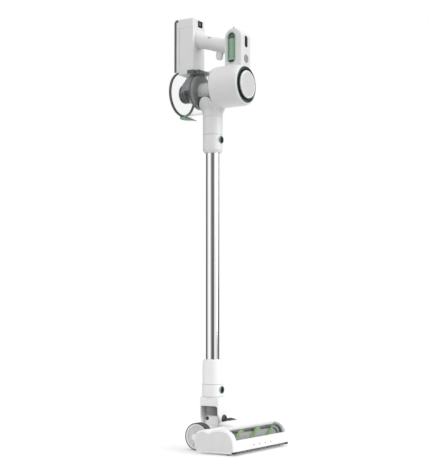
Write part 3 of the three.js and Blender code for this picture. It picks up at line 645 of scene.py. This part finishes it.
def build_roller():
    def ribbed(r, t, i):
        return r - 0.35 * (i % 2) if r > 16 else r
    stub, rings = 4.1, 12
    profile = [(0, -117.5), (stub, -117.5), (stub, -BRUSH_X), (CORE_R - 1, -BRUSH_X), (CORE_R, -BRUSH_X + 1)]
    profile += [(CORE_R, -BRUSH_X + 1 + k * (2 * BRUSH_X - 2) / rings) for k in range(1, rings)]
    profile += [(CORE_R, BRUSH_X - 1), (CORE_R - 1, BRUSH_X), (stub, BRUSH_X), (stub, 123), (0, 123)]
    place(lathe("roller_core", profile, "x", ROLLER, 120, ribbed), "roller", "mid_grey", "brush_core",
          look="roller_pile")
    for name, s in SIDES:
        collar = tube("roller_cap_" + name, 19.5, 6, *span(s, 104, 110.2), "x", ROLLER, 0.8)
        place(collar, "roller", "dark_grey")
    for i in range(4):
        strip = bristle_strip(f"bristle_strip_{i + 1}", i * math.pi / 2 - 2.3)
        place(strip, "roller", "bristle", f"brush_strip_{i + 1}")


# ---- wheels ----
WHEEL_R = 33.0


def tyre(name, s):
    inner, outer = WHEEL_IN * s, WHEEL_OUT * s
    step, centre = (outer - inner) / 8, (WHEEL_IN + WHEEL_OUT) / 2

    def grooved(r, t, i):
        return r - (0.9 if i % 4 == 0 and r > WHEEL_R - 0.5 and abs(abs(t) - centre) < 9.2 else 0)
    profile = [(29, inner), (31, inner), (32.4, inner + s * 0.5), (WHEEL_R, inner + s * 2)]
    profile += [(WHEEL_R, inner + k * step) for k in range(1, 8)]
    profile += [(WHEEL_R, outer - s * 2), (32.5, outer - s * 0.4), (31, outer - s * 0.1),
                (30.7, outer - s * 1.5), (29, outer - s * 1.5)]
    return lathe("tyre_" + name, profile, "x", AXLE, 160, grooved)


def hub(name, s):
    """A dished hub with twelve ribs. The dish is given as (radius, depth below the outer face)."""
    outer = WHEEL_OUT * s
    dish = [(4.3, 24), (28.7, 24), (28.7, 1.8), (30.4, 1.4), (30.4, 0.3), (27, 0.4), (25, 1.2), (24, 3.6),
            (9, 3.6), (8.4, 1), (7.4, 0.5), (4.3, 0.5)]
    deepest = 23
    dish = [(r, outer - s * min(depth, deepest)) for r, depth in dish]
    made = lathe("hub_" + name, soft(dish, 0.4), "x", AXLE)
    ribs = []
    for k in range(12):
        a = math.radians(30 * k)
        u, w = math.sin(a), math.cos(a)
        outline = [(AXLE[0] + r * u + v * w, AXLE[1] + r * w - v * u)
                   for r, v in ((7.5, -0.8), (25, -0.8), (25, 0.8), (7.5, 0.8))]
        ribs.append(slab("rib", outline, *span(s, WHEEL_OUT - 4.6, WHEEL_OUT - 1.4), "x", 0.3, 2))
    return fuse(made, *ribs)


def build_wheels():
    for name, s in SIDES:
        wheel = "wheel_" + name
        place(tyre(name, s), wheel, "tyre", "wheel_tyre_" + name, angle=25)
        place(hub(name, s), wheel, "light_grey", "wheel_hub_" + name)
        cap = disc("hub_cap_" + name, 3.9, *span(s, WHEEL_OUT - 2.6, WHEEL_OUT - 0.2), "x", AXLE, 0.8, 40)
        place(cap, "floor_head", "light_grey")
        x, f, z = middle("front_castor_" + name)
        castor = tube("castor_roll_" + name, 5, 1.6, x - 3.7, x + 3.7, "x", (f, z), 0.9, 40)
        place(castor, "castor_" + name, "rubber", "front_castor_" + name)


# ---- neck joint ----
ROLL_PIN = (0, 70.0)
HOSE_Z = (79.6, 105.3)


def build_knuckle():
    knuckle = disc("knuckle_block", 21, -28.4, 28.4, "x", AXLE, 2.0)
    fuse(knuckle, disc("trunnion", 7, -37.6, 37.6, "x", AXLE, 0.6, 40),
         slab("post", rect(-16, 16, -14, 26, 6), AXLE[1], 77, "z", 1.5),
         disc("pin", 5, 20, 31.8, "f", ROLL_PIN, 0.4, 40),
         disc("pin", 4, -25.8, -12, "f", ROLL_PIN, 0.4, 40),
         tube("spigot", 14.2, 12, 70, 84, "z", WAND, 0.4, 48))
    cut(knuckle, bore(12, AXLE[1], 95, "z", WAND, 48), box(-15, 15, AXLE[0], 45, 22, 42))
    place(knuckle, "knuckle", "white_abs", "knuckle")
    for name, s in SIDES:
        dot = disc("side_pin_" + name, 4.9, *span(s, 15, 16.8), "x", (-6, 71.6), 0.6, 40)
        place(dot, "knuckle", "gloss_black")
    dome = [(0, 32.3, 0), (10.5, 32.3), (10.4, 35.4, 2.0), (6.5, 37.4, 2.0), (0, 37.5, 0)]
    dome = lathe("pivot_dome", soft(dome, 0.6, closed=False), "f", ROLL_PIN)
    place(dome, "knuckle", "gloss_black", "pivot_cap")
    place(tube("pivot_trim", 11.1, 10.6, 32.3, 33.6, "f", ROLL_PIN, 0.3), "knuckle", "sage")


def build_fork():
    side, top, arch_z = 23, 124.2, 84
    leg = [(-side, top), (-side, arch_z)] + arc(*ROLL_PIN, 15, 200, 340, 24) + [(side, arch_z), (side, top)]
    fork = slab("swivel_yoke", rect(-side, side, -26, 32, 10, 12), 50, top, "z", 1.6)
    combine(fork, [slab("legs", leg, -30, 36, "f")], "INTERSECT")
    window = soft([(-20.5, 40), (27, 40), (27, 102, 7), (-20.5, 102, 3)])
    cut(fork, slab("cut", window, -50, 50, "x"), bore(18.6, 90, 140, "z", WAND, 48),
        bore(5.3, 20, 40, "f", ROLL_PIN, 40), bore(4.3, -40, -10, "f", ROLL_PIN, 40))
    place(fork, "fork", "white_abs", "swivel_fork")


def build_hose():
    """A bellows of eight folds between the knuckle and the fork."""
    folds, steps = 8, 6
    foot, head = HOSE_Z
    profile = [(16.6 + 0.85 * math.cos(2 * math.pi * k / steps), foot + k * (head - foot) / (folds * steps))
               for k in range(folds * steps + 1)]
    hose = lathe("bellows_hose", profile + [(14.6, head), (14.6, foot)], "z")
    finish_piece(hose, "hose", "flex_hose", angle=60)
    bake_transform(hose)


# ---- wand ----
def release_button(name, body, node, z, start, end):
    """A sage barrel with a glossy dark face set into it."""
    barrel = [(0, start, 0), (9.5, start), (9.5, end - 1.6, 0.5), (8.8, end - 0.9, 0.4),
              (8.4, end - 1.1, 0.1), (0, end - 1.1, 0)]
    barrel = lathe(name + "_barrel", soft(barrel, 0.4, closed=False), "f", (0, z), 48)
    place(barrel, body, "sage", node)
    face = [(0, end - 1.4), (8.3, end - 1.4), (8.3, end - 0.9), (7.6, end - 0.4), (5, end - 0.1), (0, end)]
    place(lathe(name + "_face", face, "f", (0, z), 48), body, "gloss_black")


LOWER_BUTTON_Z, UPPER_BUTTON_Z = 141, 761
SOCKET_BORE, TUBE_BED, SPIGOT_R = 15.7, 17.9, 21


def build_wand():
    socket = soft([(16, 106), (18.2, 106), (18.2, 124.5), (26.7, 124.5, 0.8), (26.75, 140),
                   (26.6, 154.3, 0.8), (21.3, 154.3), (21.3, 126.5), (16, 126.5)], 0.3)
    socket = lathe("socket_collar", socket, "z")
    cut(socket, bore(9.9, 22.6, 40, "f", (0, LOWER_BUTTON_Z), 48))
    place(socket, "fork", "white_abs", "wand_socket")
    release_button("lower_button", "lower_button", "lower_release_button", LOWER_BUTTON_Z, 24.9, 29.0)

    lower = soft([(SOCKET_BORE, 127), (SPIGOT_R, 127), (SPIGOT_R, 154.8), (25.9, 154.8, 0.7), (25.6, 185),
                  (25.3, 209, 6), (22.4, 215.3, 1.2), (TUBE_BED, 215.3), (TUBE_BED, 165.5),
                  (SOCKET_BORE, 165.5)], 0.3)
    place(lathe("lower_sleeve", lower, "z"), "wand", "white_abs", "wand_lower_collar")
    _, tube_r, _, _, foot, head = extent("wand_tube")
    bare = soft([(16, foot), (tube_r, foot), (tube_r, head), (16, head)], 0.2)
    place(lathe("bare_tube", bare, "z", WAND, 128), "wand", "bright_metal", "wand_tube")
    upper = soft([(TUBE_BED, 728.6), (SPIGOT_R, 728.6, 1.5), (25.2, 735.5, 4), (25.2, 774.0, 0.3),
                  (19.8, 774.0), (19.8, 812), (SOCKET_BORE, 812), (SOCKET_BORE, 762.4),
                  (TUBE_BED, 762.4)], 0.3)
    upper = lathe("upper_sleeve", upper, "z")
    cut(upper, bore(9.9, 20.6, 40, "f", (0, UPPER_BUTTON_Z), 48))
    place(upper, "wand", "white_abs", "wand_upper_collar")
    release_button("upper_button", "upper_button", "upper_release_button", UPPER_BUTTON_Z, 22.7, 27.6)


# ---- handheld unit ----
CUP_Z = 886.0
CUP, FAN = (0, CUP_Z), (0, 892.5)  # axes of the dust cup and of the motor housing
POD = (48.0, 98.0, 24.0, 1034.0)  # back, front, half width and top of the upright housing
POD_MIDDLE = 69.5  # f of its side windows
DRUM_BACK, DRUM_R = 18.0, 52
SADDLE_R = 44.5
MODE = (0, 957.0)


def pod_outline():
    back, front, _, top = POD
    r = (front - back) / 2
    return [(back, 925), (front, 925)] + arc((back + front) / 2, top - r, r, 0, 180, 36)


def build_body():
    flare = curve_through([(25.2, 819.3), (26.2, 829), (30.5, 841), (36.2, 852), (39.4, 863), (39.5, 872)])
    shell = lathe("main_shell", [(0, 819.3)] + flare + [(39.5, 885), (0, 885)], "z")
    drum = soft([(0, DRUM_BACK, 0), (DRUM_R, DRUM_BACK, 0.5), (DRUM_R, 87.5, 5), (50, 95, 5), (45.3, 98.4, 1),
                 (0, 98.4, 0)], closed=False, steps=8)
    fuse(shell, lathe("drum", drum, "f", FAN, 96), slab("pod", pod_outline(), -POD[2], POD[2], "x", 6, 8))
    melt(shell, 1.2, 1)
    cut(shell, bore(SADDLE_R, -60, 16.2, "f", CUP, 96),
        bore(DRUM_R - 2, DRUM_BACK + 2.2, 86, "f", FAN, 96),
        bore(46.0, 14, DRUM_BACK + 3, "f", FAN, 96),
        bore(45.3, 85, 110, "f", FAN, 96),
        bore(20.1, 800, 845, "z", WAND, 64),
        bore(15.7, 830, 900, "z", WAND, 64),
        *[slab("cut", stadium(55.3, 83.7, 942.8, 1025.2), *span(s, 18.3, 40), "x") for _, s in SIDES],
        slab("cut", stadium(-7, 7, 985, 1015), 95.2, 110, "f"),
        bore(10.5, 92.2, 110, "f", MODE, 48))
    place(shell, "handheld", "white_abs", "motor_housing", "front_housing", angle=40)
    neck = soft([(20.2, 774.5), (25.2, 774.5, 0.2), (25.25, 819.2, 0.1), (20.2, 819)], 0.3)
    place(lathe("neck_sleeve", neck, "z"), "handheld", "white_abs", "neck_funnel")
    seal = tube("rear_seal", DRUM_R - 0.6, 46.2, DRUM_BACK - 0.9, DRUM_BACK + 1, "f", FAN, 0.4)
    place(seal, "handheld", "mid_grey")
    stud = disc("pod_stud", 2.4, POD[3] - 3, POD[3] + 1.4, "z", (-18, (POD[0] + POD[1]) / 2), 0.6, 32)
    place(stud, "handheld", "dark_grey")


def exhaust_grille():
    """A round plate of square cells, each sunk inside a thin wall."""
    pitch, reach, face_f, back_f = 2.4, 30.9, 104.5, 103.4

    def make(mesh):
        count = int(reach / pitch) + 1
        grid = {}
        for i in range(-count, count + 1):
            for k in range(-count, count + 1):
                if math.hypot(i * pitch, k * pitch) < reach:
                    grid[i, k] = mesh.verts.new(to_frame(i * pitch, face_f, FAN[1] + k * pitch))
        cells = []
        for i, k in list(grid):
            corners = [grid.get((i + a, k + b)) for a, b in ((0, 0), (1, 0), (1, 1), (0, 1))]
            if all(corners):
                cells.append(mesh.faces.new(corners))
        for thickness in (0.00078, 0.00012):
            bmesh.ops.inset_individual(mesh, faces=cells, thickness=thickness)
        for face in cells:
            for vert in face.verts:
                vert.co.y += 0.0006
        back = bmesh.ops.extrude_face_region(mesh, geom=list(mesh.faces))
        for vert in back["geom"]:
            if isinstance(vert, bmesh.types.BMVert):
                vert.co.y = to_frame(0, back_f, 0).y
    return build("exhaust_grille", make)


def build_exhaust():
    ring = [(37.3, 88), (45.1, 88), (45.1, 98.2, 1.0), (43.8, 99.5, 1.0), (39.5, 98.6, 1.0),
            (37.5, 96.6, 0.8)]
    place(lathe("green_ring", soft(ring, 0.3), "f", FAN, 96), "handheld", "deep_green", "exhaust_ring")
    cap = [(0, 93, 0), (34.4, 93), (34.4, 102.4, 1.2), (33, 104, 1.2), (31.6, 104.3, 0.4), (31.2, 103.6, 0.3),
           (0, 103.6, 0)]
    cap = lathe("exhaust_lid", soft(cap, 0.3, closed=False), "f", FAN, 96)
    place(cap, "exhaust", "white_abs", "exhaust_cap", look="disc")
    place(tube("exhaust_trim", 36.8, 34.6, 93.2, 101.4, "f", FAN, 0.8), "exhaust", "deep_green")
    place(exhaust_grille(), "exhaust", "white_abs", look="disc")


def window_lens(name, s):
    """A bulging lens, flat at the top and round at the foot."""
    reach, steps, foot, top, inner = 11.05, 24, 957.0, 1007, 15.5
    rings = []
    for k in range(steps + 1):
        a = math.radians(-90 + 180 * k / steps)
        f = POD_MIDDLE + 11.0 * math.sin(a)
        x = s * (16.4 + 7.2 * math.cos(a))
        low = foot - math.sqrt(max(0.0, reach ** 2 - (f - POD_MIDDLE) ** 2))
        rings.append([(x, f, low), (x, f, top), (s * inner, f, top), (s * inner, f, low)])
    return loft(name, rings, caps=True)


def build_side_windows():
    crown = arc(POD_MIDDLE, 1011.0, 11.05, 0, 180, 24)
    crown += [(POD_MIDDLE - 11.05, 1007.2), (POD_MIDDLE + 11.05, 1007.2)]
    for name, s in SIDES:
        rim = slab("window_rim_" + name, stadium(55.6, 83.4, 943.1, 1024.9), *span(s, 18.6, 24.2), "x", 0.9)
        cut(rim, slab("cut", stadium(58.4, 80.6, 945.9, 1022.1), *span(s, 16, 30), "x"))
        # the rim is coloured with the pale green painted highlight
        place(rim, "handheld", "light_grey", "side_window_" + name, look="painted_highlight")
        place(window_lens("sage_lens_" + name, s), "handheld", "sage")
        # a dark green crown over the top of each lens: painted shade under the window's upper edge
        shade = slab("lens_painted_shade_" + name, crown, *span(s, 16, 20.6), "x", 0.6)
        place(shade, "handheld", "deep_green", look="painted_shade_green")
        # a pale strip across the foot of the lens: painted highlight
        painted_highlight = slab("lens_painted_highlight_" + name, rect(60.6, 78.4, 954.2, 955.8, 0.5), *span(s, 20, 23.9), "x", 0.4)
        place(painted_highlight, "handheld", "sage", look="painted_highlight")
        foot = arc(POD_MIDDLE, 954.6, 7.8, 180, 360, 20)
        place(slab("lens_foot_" + name, foot, *span(s, 20, 23.6), "x", 0.5), "handheld", "gloss_black")


def build_front_panel():
    slot = slab("status_lamp", stadium(-6.7, 6.7, 985.3, 1014.7), 95.4, 97.8, "f", 0.9)
    place(slot, "handheld", "gloss_black", "status_lens")
    button = [(0, 94, 0), (10.2, 94), (10.2, 97.9, 0.8), (8.6, 98.8, 0.8), (5, 98.4, 2), (0, 98.3, 0)]
    key = lathe("mode_key", soft(button, 0.4, closed=False), "f", MODE, 56)
    place(key, "mode_button", "mid_grey", "mode_button")


SLOPE = math.radians(16.7)


def along_grip(t, n):
    """f and z at t along the sloping handle and n above its axis."""
    down, over = math.sin(SLOPE), math.cos(SLOPE)
    return (-8 + t * over + n * down, 1009.5 - t * down + n * over)


def grip_solid(name, grow):
    line = curve_through([(26, -47), (22, -39), (19.4, -28), (18.3, -14), (18, 0), (18.2, 25), (18.6, 48),
                          (18.8, 72)])
    turns = [2 * math.pi * i / ROUND for i in range(ROUND)]
    rings = [[((r + grow) * math.sin(a), *along_grip(t, (r + grow) * math.cos(a))) for a in turns]
             for r, t in line]
    foot, head = [[(0, *along_grip(t, 0))] for _, t in (line[0], line[-1])]
    return loft(name, [foot, *rings, head])


def thumb_plug(name, start, end, grow, dome=0.0):
    """An oval plug, from start to end out of the handle's axis, that leans to the left."""
    lean, points = math.radians(50), 40
    rings = []
    stations = ((start, 0), (start, 1), (end - dome, 1), (end - dome * 0.4, 0.85), (end, 0.5), (end, 0))
    for depth, scale in stations:
        ring = []
        for i in range(points):
            a = 2 * math.pi * i / points
            u, w = (7 + grow) * scale * math.sin(a), (4.4 + grow) * scale * math.cos(a)
            x = -math.sin(lean) * depth + math.cos(lean) * w
            n = math.cos(lean) * depth + math.sin(lean) * w
            ring.append((x, *along_grip(3 + u, n)))
        rings.append(ring[:1] if scale == 0 else ring)
    return loft(name, rings)


def build_handle():
    grip = grip_solid("handle", 0)
    wall = 3
    cut(grip, box(-60, 60, -150, -41.2, 900, 1100), box(-60, 60, 47.7, 150, 900, 1100),
        grip_solid("cut", -wall), box(-5.6, 5.6, 4.5, 36, 900, 996), thumb_plug("cut", 10, 27, 0.3))
    place(grip, "handheld", "white_abs", "handle_grip", angle=40)
    place(thumb_plug("thumb_key", 14.8, 18.8, 0, 0.6), "thumb_button", "white_abs", "thumb_button")
    # a thin dark oval on the key's top: painted shade standing for the groove in it
    place(thumb_plug("thumb_groove_painted_shade", 18.5, 18.95, -3.1), "thumb_button", "dark_grey")
    lobe = [(28, 990.5), (33, 990.2), (33.6, 983.5), (29.8, 978.3), (28.2, 968.7), (25.5, 963.3), (19.6, 962),
            (14, 964.8), (11.4, 971.5), (12, 980.5), (14.5, 985.5), (20, 988)]
    lobe = curve_through([*lobe, lobe[0]], 5)[:-1]
    trigger = slab("trigger_key", lobe, -5, 5, "x", 2.2, 5)
    fuse(trigger, disc("pin", 2, -8, 8, "x", (31, 987.5), 0.3, 24))
    place(trigger, "trigger", "white_abs", "trigger")


COLUMN = (-28.0, 28.0, -91.7, -41.5)
COLUMN_FOOT, COLUMN_SEAM, COLUMN_TOP = 931.1, 1050.0, 1073.5
BACK, LIP, LID_PIN = -99.0, -87.0, (-95.8, 946.5)


def column_section(shrink=0.0):
    x0, x1, back, front = COLUMN
    return soft([(x0 + shrink, back), (x1 - shrink, back), (x1 - shrink, front - shrink, 4.5),
                 (x0 + shrink, front - shrink, 4.5)], steps=8)


def rim_notch():
    return bore(59, -110, -84.8, "f", CUP, 96)


def display_digits(x0, z0, face_f):
    """Two seven-bar digits. Each bar is two corners of a 4 by 8 mm digit, and a bit says if it is lit."""
    bars = [((0, 4), (4, 4)), ((0, 4), (0, 8)), ((4, 4), (4, 8)), ((0, 0), (4, 0)), ((0, 0), (0, 4)),
            ((4, 0), (4, 4)), ((0, 8), (4, 8))]
    half = 0.35

    def make(mesh):
        for k, lit in enumerate((0b1110111, 0b0010010)):
            left, base = x0 + 5.2 + 6.6 * k, z0 + 4
            for bit, ((a, b), (c, d)) in enumerate(bars):
                if not lit >> bit & 1:
                    continue
                wide, tall = (half, 0.0) if a == c else (0.0, half)
                corners = [(left + a - wide, base + b - tall), (left + c + wide, base + b - tall),
                           (left + c + wide, base + d + tall), (left + a - wide, base + d + tall)]
                skin(mesh, [[(u, f, v) for u, v in corners] for f in (face_f - 0.3, face_f + 0.1)])
        bmesh.ops.holes_fill(mesh, edges=mesh.edges, sides=4)
    return build("display_digits", make)


def build_column():
    wall = 2.5
    x0, x1, f0, f1, z0, z1 = extent("display_panel")
    shell = slab("battery_case", column_section(), COLUMN_FOOT, COLUMN_SEAM - 0.15, "z")
    cut(shell, slab("cut", column_section(wall), COLUMN_FOOT + wall, 1100, "z"), rim_notch())
    place(shell, "handheld", "white_abs", "column_shell")
    cap = slab("battery_top", column_section(), COLUMN_SEAM + 0.15, COLUMN_TOP, "z")
    round_edges(cap, 1.6, 3, COLUMN_TOP)
    cut(cap, slab("cut", column_section(wall), COLUMN_SEAM - 1, COLUMN_TOP - wall, "z"),
        box(-40, 40, -110, LIP + 0.2, COLUMN_TOP - 7.2, 1100),
        slab("cut", rect(x0 - 0.4, x1 + 0.4, z0 - 0.4, z1 + 0.4, 1.2), -47, -40, "f"))
    place(cap, "handheld", "white_abs", "column_cap")
    seat, foot, bend = COLUMN[2] - 0.2, COLUMN_FOOT + 3, 9
    strip = [(seat, foot), (BACK, foot)] + arc(BACK + bend, COLUMN_TOP - bend, bend, 180, 90, 10)
    strip += [(LIP, COLUMN_TOP), (LIP, COLUMN_TOP - 7), (seat, COLUMN_TOP - 7)]
    back = slab("battery_back", strip, COLUMN[0], COLUMN[1], "x")
    round_edges(back, 1.4, 3)
    cut(back, rim_notch(), box(-8.2, 8.2, -110, -80, 930, LID_PIN[1] + 4.5))
    fuse(back, disc("pin", 1.5, -12, 12, "x", LID_PIN, 0.2, 24))
    place(back, "handheld", "dark_grey", "column_back")
    panel = slab("display_glass", rect(x0, x1, z0, z1, 1.0), f0, f1, "f", 0.5)
    place(panel, "handheld", "gloss_black", "display_panel")
    place(display_digits(x0, z0, f1), "handheld", "mid_grey", look="seam")
    for name, s in SIDES:
        groove = slab("case_line_" + name, rect(-82.6, -81.9, 955, 1049), *span(s, 27.7, 28.05), "x")
        place(groove, "handheld", "light_grey", look="seam")


# ---- dust cup ----
CUP_BACK, CUP_FRONT, CUP_R, CUP_TOP = -85.3, 15.7, 57, 930.7
CUP_WALL = 2
LID_FROM, LID_TO = -95.3, -85.6
LATCH_PIN = (-74.0, 824.0)
DUCT_BACK = -40.0


def build_cup():
    flare = curve_through([(25.6, 805), (26.6, 829), (31.0, 841), (36.6, 852), (39.8, 863), (39.9, 890)])
    cup = disc("cup", CUP_R, CUP_BACK, CUP_FRONT, "f", CUP, 1.0, 96)
    cut(cup, box(-80, 80, -130, 40, CUP_TOP, 1000),
        bore(CUP_R - CUP_WALL, CUP_BACK - 1, CUP_FRONT + 1, "f", CUP, 96))
    reach = math.sqrt(CUP_R ** 2 - (CUP_TOP - CUP_Z) ** 2) - 0.6
    fuse(cup, slab("flat", rect(-reach, reach, CUP_BACK, CUP_FRONT, 0), CUP_TOP - CUP_WALL, CUP_TOP, "z"))
    cut(cup, lathe("cut", [(0, 805)] + flare + [(0, 890)], "z"))
    f, z = LATCH_PIN
    for _, s in SIDES:
        ear = [(f - 4, z - 3), (f + 4, z - 3), (f + 6, 835), (f - 6, 835)]
        fuse(cup, slab("ear", ear, *span(s, 9.6, 12), "x", 0.4))
    fuse(cup, disc("pin", 1.5, -11, 11, "x", LATCH_PIN, 0.2, 24))
    place(cup, "handheld", "clear", "dust_cup")


def build_cyclone():
    """A stepped drum with hoods above, a bowl below, hoops round its nose and a duct to the wand."""
    front, foot, top = -31.0, 800, 1000
    drum = [(0, -88.7, 0), (22.5, -88.7), (22.5, -66), (40, -46), (43.5, -42), (43.5, front), (0, front, 0)]
    hollow = [(0, -84), (20, -84), (20, -65), (37, -46), (41, -42), (41, front - 2.5), (0, front - 2.5)]
    cyclone = lathe("cyclone_body", soft(drum, 1.0, closed=False), "f", CUP, 96)
    for reach, start, end in ((33.4, -74, -50), (43.5, -61.5, -40)):
        hood = disc("hood", reach, start, end, "f", CUP, 1.0, 96)
        fuse(cyclone, combine(hood, [box(-60, 60, -80, -30, CUP_Z, top)], "INTERSECT"))
    cut(cyclone, box(-60, 60, -100, 20, 928.2, 960), lathe("cut", hollow, "f", CUP))
    place(cyclone, "handheld", "smoke", "cyclone_drum")
    duct = tube("intake_duct", 44, 23.4, DUCT_BACK, 15.2, "f", CUP, 0.6, 96)
    combine(duct, [box(-18, 18, -40, 30, foot, CUP_Z)], "INTERSECT")
    cut(duct, box(-15.5, 15.5, -20, 12.5, 843.5, 862))
    sleeve = tube("cyclone_sleeve", 22.8, 20.4, DUCT_BACK + 0.4, 14.7, "f", CUP, 0.5)
    place(sleeve, "handheld", "smoke", "cyclone_core", look="cyclone_light")
    rim = DUCT_BACK - 1
    bowl = soft([(19, -88.2), (22.8, -88.6), (23.2, -66), (40.7, -46.2), (44.2, -42), (44.2, rim), (42, rim),
                 (42, -42), (38, -47), (21, -66), (19, -87)], 0.3)
    bowl = lathe("cyclone_bowl", bowl, "f", CUP, 96)
    combine(bowl, [box(-60, 60, -100, 20, foot, CUP_Z - 3)], "INTERSECT")
    hoops = [tube(f"cyclone_hoop_{k + 1}", r, 21.5, f - 1.2, f + 1.2, "f", CUP, 0.5)
             for k, (r, f) in enumerate(((24.2, -84.5), (24.2, -77), (25, -68)))]
    bands = [tube(f"cyclone_band_{k + 1}", 44.3, 43.0, f - 1.1, f + 1.1, "f", CUP, 0.4, 96)
             for k, f in enumerate((-40.6, DUCT_BACK - 1.2))]
    for band in bands:
        cut(band, box(-60, 60, -100, 20, 927.9, 960))
    # the duct, bowl, hoops and bands take the darker copy of smoke, painted shade under the cyclone
    for part in (duct, bowl, *hoops, *bands):
        place(part, "handheld", "smoke", look="cyclone_painted_shade")


def build_bracket():
    foot, head, wall = 931.1, 940.5, 2
    front, side = COLUMN[3] + 0.3, COLUMN[1] + 0.3
    clip = soft([(front, foot), (-21, foot), (-22, 937, 2), (-26, head, 3), (front, head)], 0.4)
    clip = slab("cup_clip", clip, -24, 24, "x", 1.5)
    fuse(clip, slab("bridge", rect(-side - wall, side + wall, front, front + 3.2, 1), foot, head, "z", 0.4),
         *[slab("arm", rect(*span(s, side, side + wall), -58, front + 3.2, 0.8), foot, head, "z", 0.4)
           for _, s in SIDES])
    place(clip, "handheld", "dark_grey", "cup_bracket")


def build_lid():
    f, z = LID_PIN
    place(tube("lid_skirt", 56.9, 55.2, LID_FROM + 5.8, LID_TO, "f", CUP, 0.3, 96), "lid", "clear")
    ring = tube("lid_ring", CUP_R, 52.6, LID_FROM, LID_FROM + 6, "f", CUP, 1.2, 96)
    fuse(ring, disc("barrel", 3.1, -7.6, 7.6, "x", LID_PIN, 0.4, 32), box(-7.6, 7.6, f + 0.8, f + 3, 940, z))
    cut(ring, bore(1.8, -9, 9, "x", LID_PIN, 24))
    place(ring, "lid", "dark_grey", "lid_rim")
    pane = [(0, -93.1), (30, -93.2), (52.4, -93.5), (52.4, -91.5), (30, -91.2), (0, -91.1)]
    place(lathe("lid_pane", pane, "f", CUP, 96), "lid", "clear", "lid_window")
    lever = soft([(-94.5, 828.2), (-76, 828.2), (-71, 826.5), (-66, 821.5), (-54, 817.6), (-54, 815.2),
                  (-68, 817.2), (-80, 817.7), (-90, 820.2), (-94.5, 824)], 0.8)
    latch = slab("lid_catch", lever, -9, 9, "x", 1.2)
    cut(latch, bore(1.9, -12, 12, "x", LATCH_PIN, 24))
    place(latch, "latch", "sage", "lid_latch")


# ---- stage ----
FLOOR_REACH, FLOOR_DROP = 0.9, 0.0003
BELOW, ABOVE, LEVEL_OFF = 0.3, 1.04, 0.35  # how bright the walls are below, above and from where
CAMERA_FROM = Vector((-2.4178, -1.5262, 0.340))
CAMERA_YAW = math.radians(32.516)
CAMERA_PITCH = math.radians(3.587)
LENS, SENSOR = 87.79, 36


def grey(level):
    return (level, level, level, 1)


def aim(thing, x, y, z):
    thing.rotation_euler = Vector((x, y, z)).to_track_quat("-Z", "Y").to_euler()


def sun(name, towards, strength, spread):
    light = bpy.data.lights.new(name, "SUN")
    light.energy, light.angle = strength, math.radians(spread)
    aim(add(name, light), *towards)


def build_floor():
    floor = build("floor", lambda mesh: bmesh.ops.create_circle(mesh, cap_ends=True, segments=96,
                                                                radius=FLOOR_REACH))
    look = Look("floor_paper")
    look.link(look.tones(look.noise(3), grey(0.80), grey(0.82)), look.shader.inputs["Base Color"])
    look.set(Roughness=0.9, Emission_Color=grey(1), Emission_Strength=0.16)
    floor.data.materials.append(look.material)
    floor.location.z = -FLOOR_DROP
    floor.visible_glossy = False


def studio_bands():
    """Brightness of the studio's walls by direction, in turns about the upright from behind."""
    towards = math.degrees(math.atan2(CAMERA_FROM.y - 0.017, CAMERA_FROM.x))
    marks = [(-180, 1.0), (-158, 0.9), (-140, 0.08), (-114, 0.08), (-92, 0.7), (-66, 1.02), (-46, 0.98),
             (-36, 0.55), (-24, 0.12), (-4, 0.0), (8, 0.02), (19, 0.4), (31, 1.0), (46, 1.0), (64, 0.84),
             (80, 0.66), (94, 0.12), (112, 0.08), (130, 0.7), (150, 1.0)]
    around = sorted((((towards + turn + 180) % 360) / 360, level) for turn, level in marks)
    first, last = around[0], around[-1]
    gap = first[0] + 1 - last[0]
    seam = last[1] + (first[1] - last[1]) * (1 - last[0]) / gap
    return [(0.0, seam)] + around + [(1.0, seam)]


def build_world():
    """Glossy rays see dark and bright bands, other rays a soft rise in brightness, and the camera white."""
    world = bpy.data.worlds.new("studio")
    bpy.context.scene.world = world
    world.use_nodes = True
    graph = Graph(world.node_tree, "Generated")
    split = graph.node("ShaderNodeSeparateXYZ")
    graph.link(graph.coordinates, split.inputs[0])
    angle = graph.node("ShaderNodeMath", operation="ARCTAN2")
    graph.link(split.outputs["Y"], angle.inputs[0])
    graph.link(split.outputs["X"], angle.inputs[1])
    turn = graph.rescale(angle.outputs[0], 0, 1, -math.pi, math.pi)
    bands = graph.ramp(turn, [(at, grey(level)) for at, level in studio_bands()], "EASE")
    soft_light = graph.ramp(split.outputs["Z"], [(0.0, grey(BELOW)), (LEVEL_OFF, grey(ABOVE))])
    ray = graph.node("ShaderNodeLightPath").outputs
    lit = graph.blend(ray["Is Glossy Ray"], soft_light, bands)
    seen = graph.blend(ray["Is Camera Ray"], lit, grey(1))
    graph.link(seen, graph.tree.nodes["Background"].inputs["Color"])


def build_stage():
    bpy.context.scene.view_settings.view_transform = "Standard"
    build_floor()
    build_world()
    sun("key", (-0.35, 1.0, -0.4), 1.3, 50)
    sun("fill", (1.0, -0.1, -0.35), 0.25, 90)


def build_camera():
    data = bpy.data.cameras.new("camera")
    data.lens, data.sensor_width = LENS, SENSOR
    data.clip_end = 100
    camera = add("camera", data)
    camera.location = CAMERA_FROM
    level = math.cos(CAMERA_PITCH)
    aim(camera, math.cos(CAMERA_YAW) * level, math.sin(CAMERA_YAW) * level, math.sin(CAMERA_PITCH))
    bpy.context.scene.camera = camera


build_camera()
build_stage()
build_base()
build_cover()
build_head_trim()
build_roller()
build_wheels()
build_knuckle()
build_fork()
build_hose()
build_wand()
build_body()
build_exhaust()
build_side_windows()
build_front_panel()
build_handle()
build_column()
build_cup()
build_cyclone()
build_bracket()
build_lid()

bpy.context.view_layer.update()
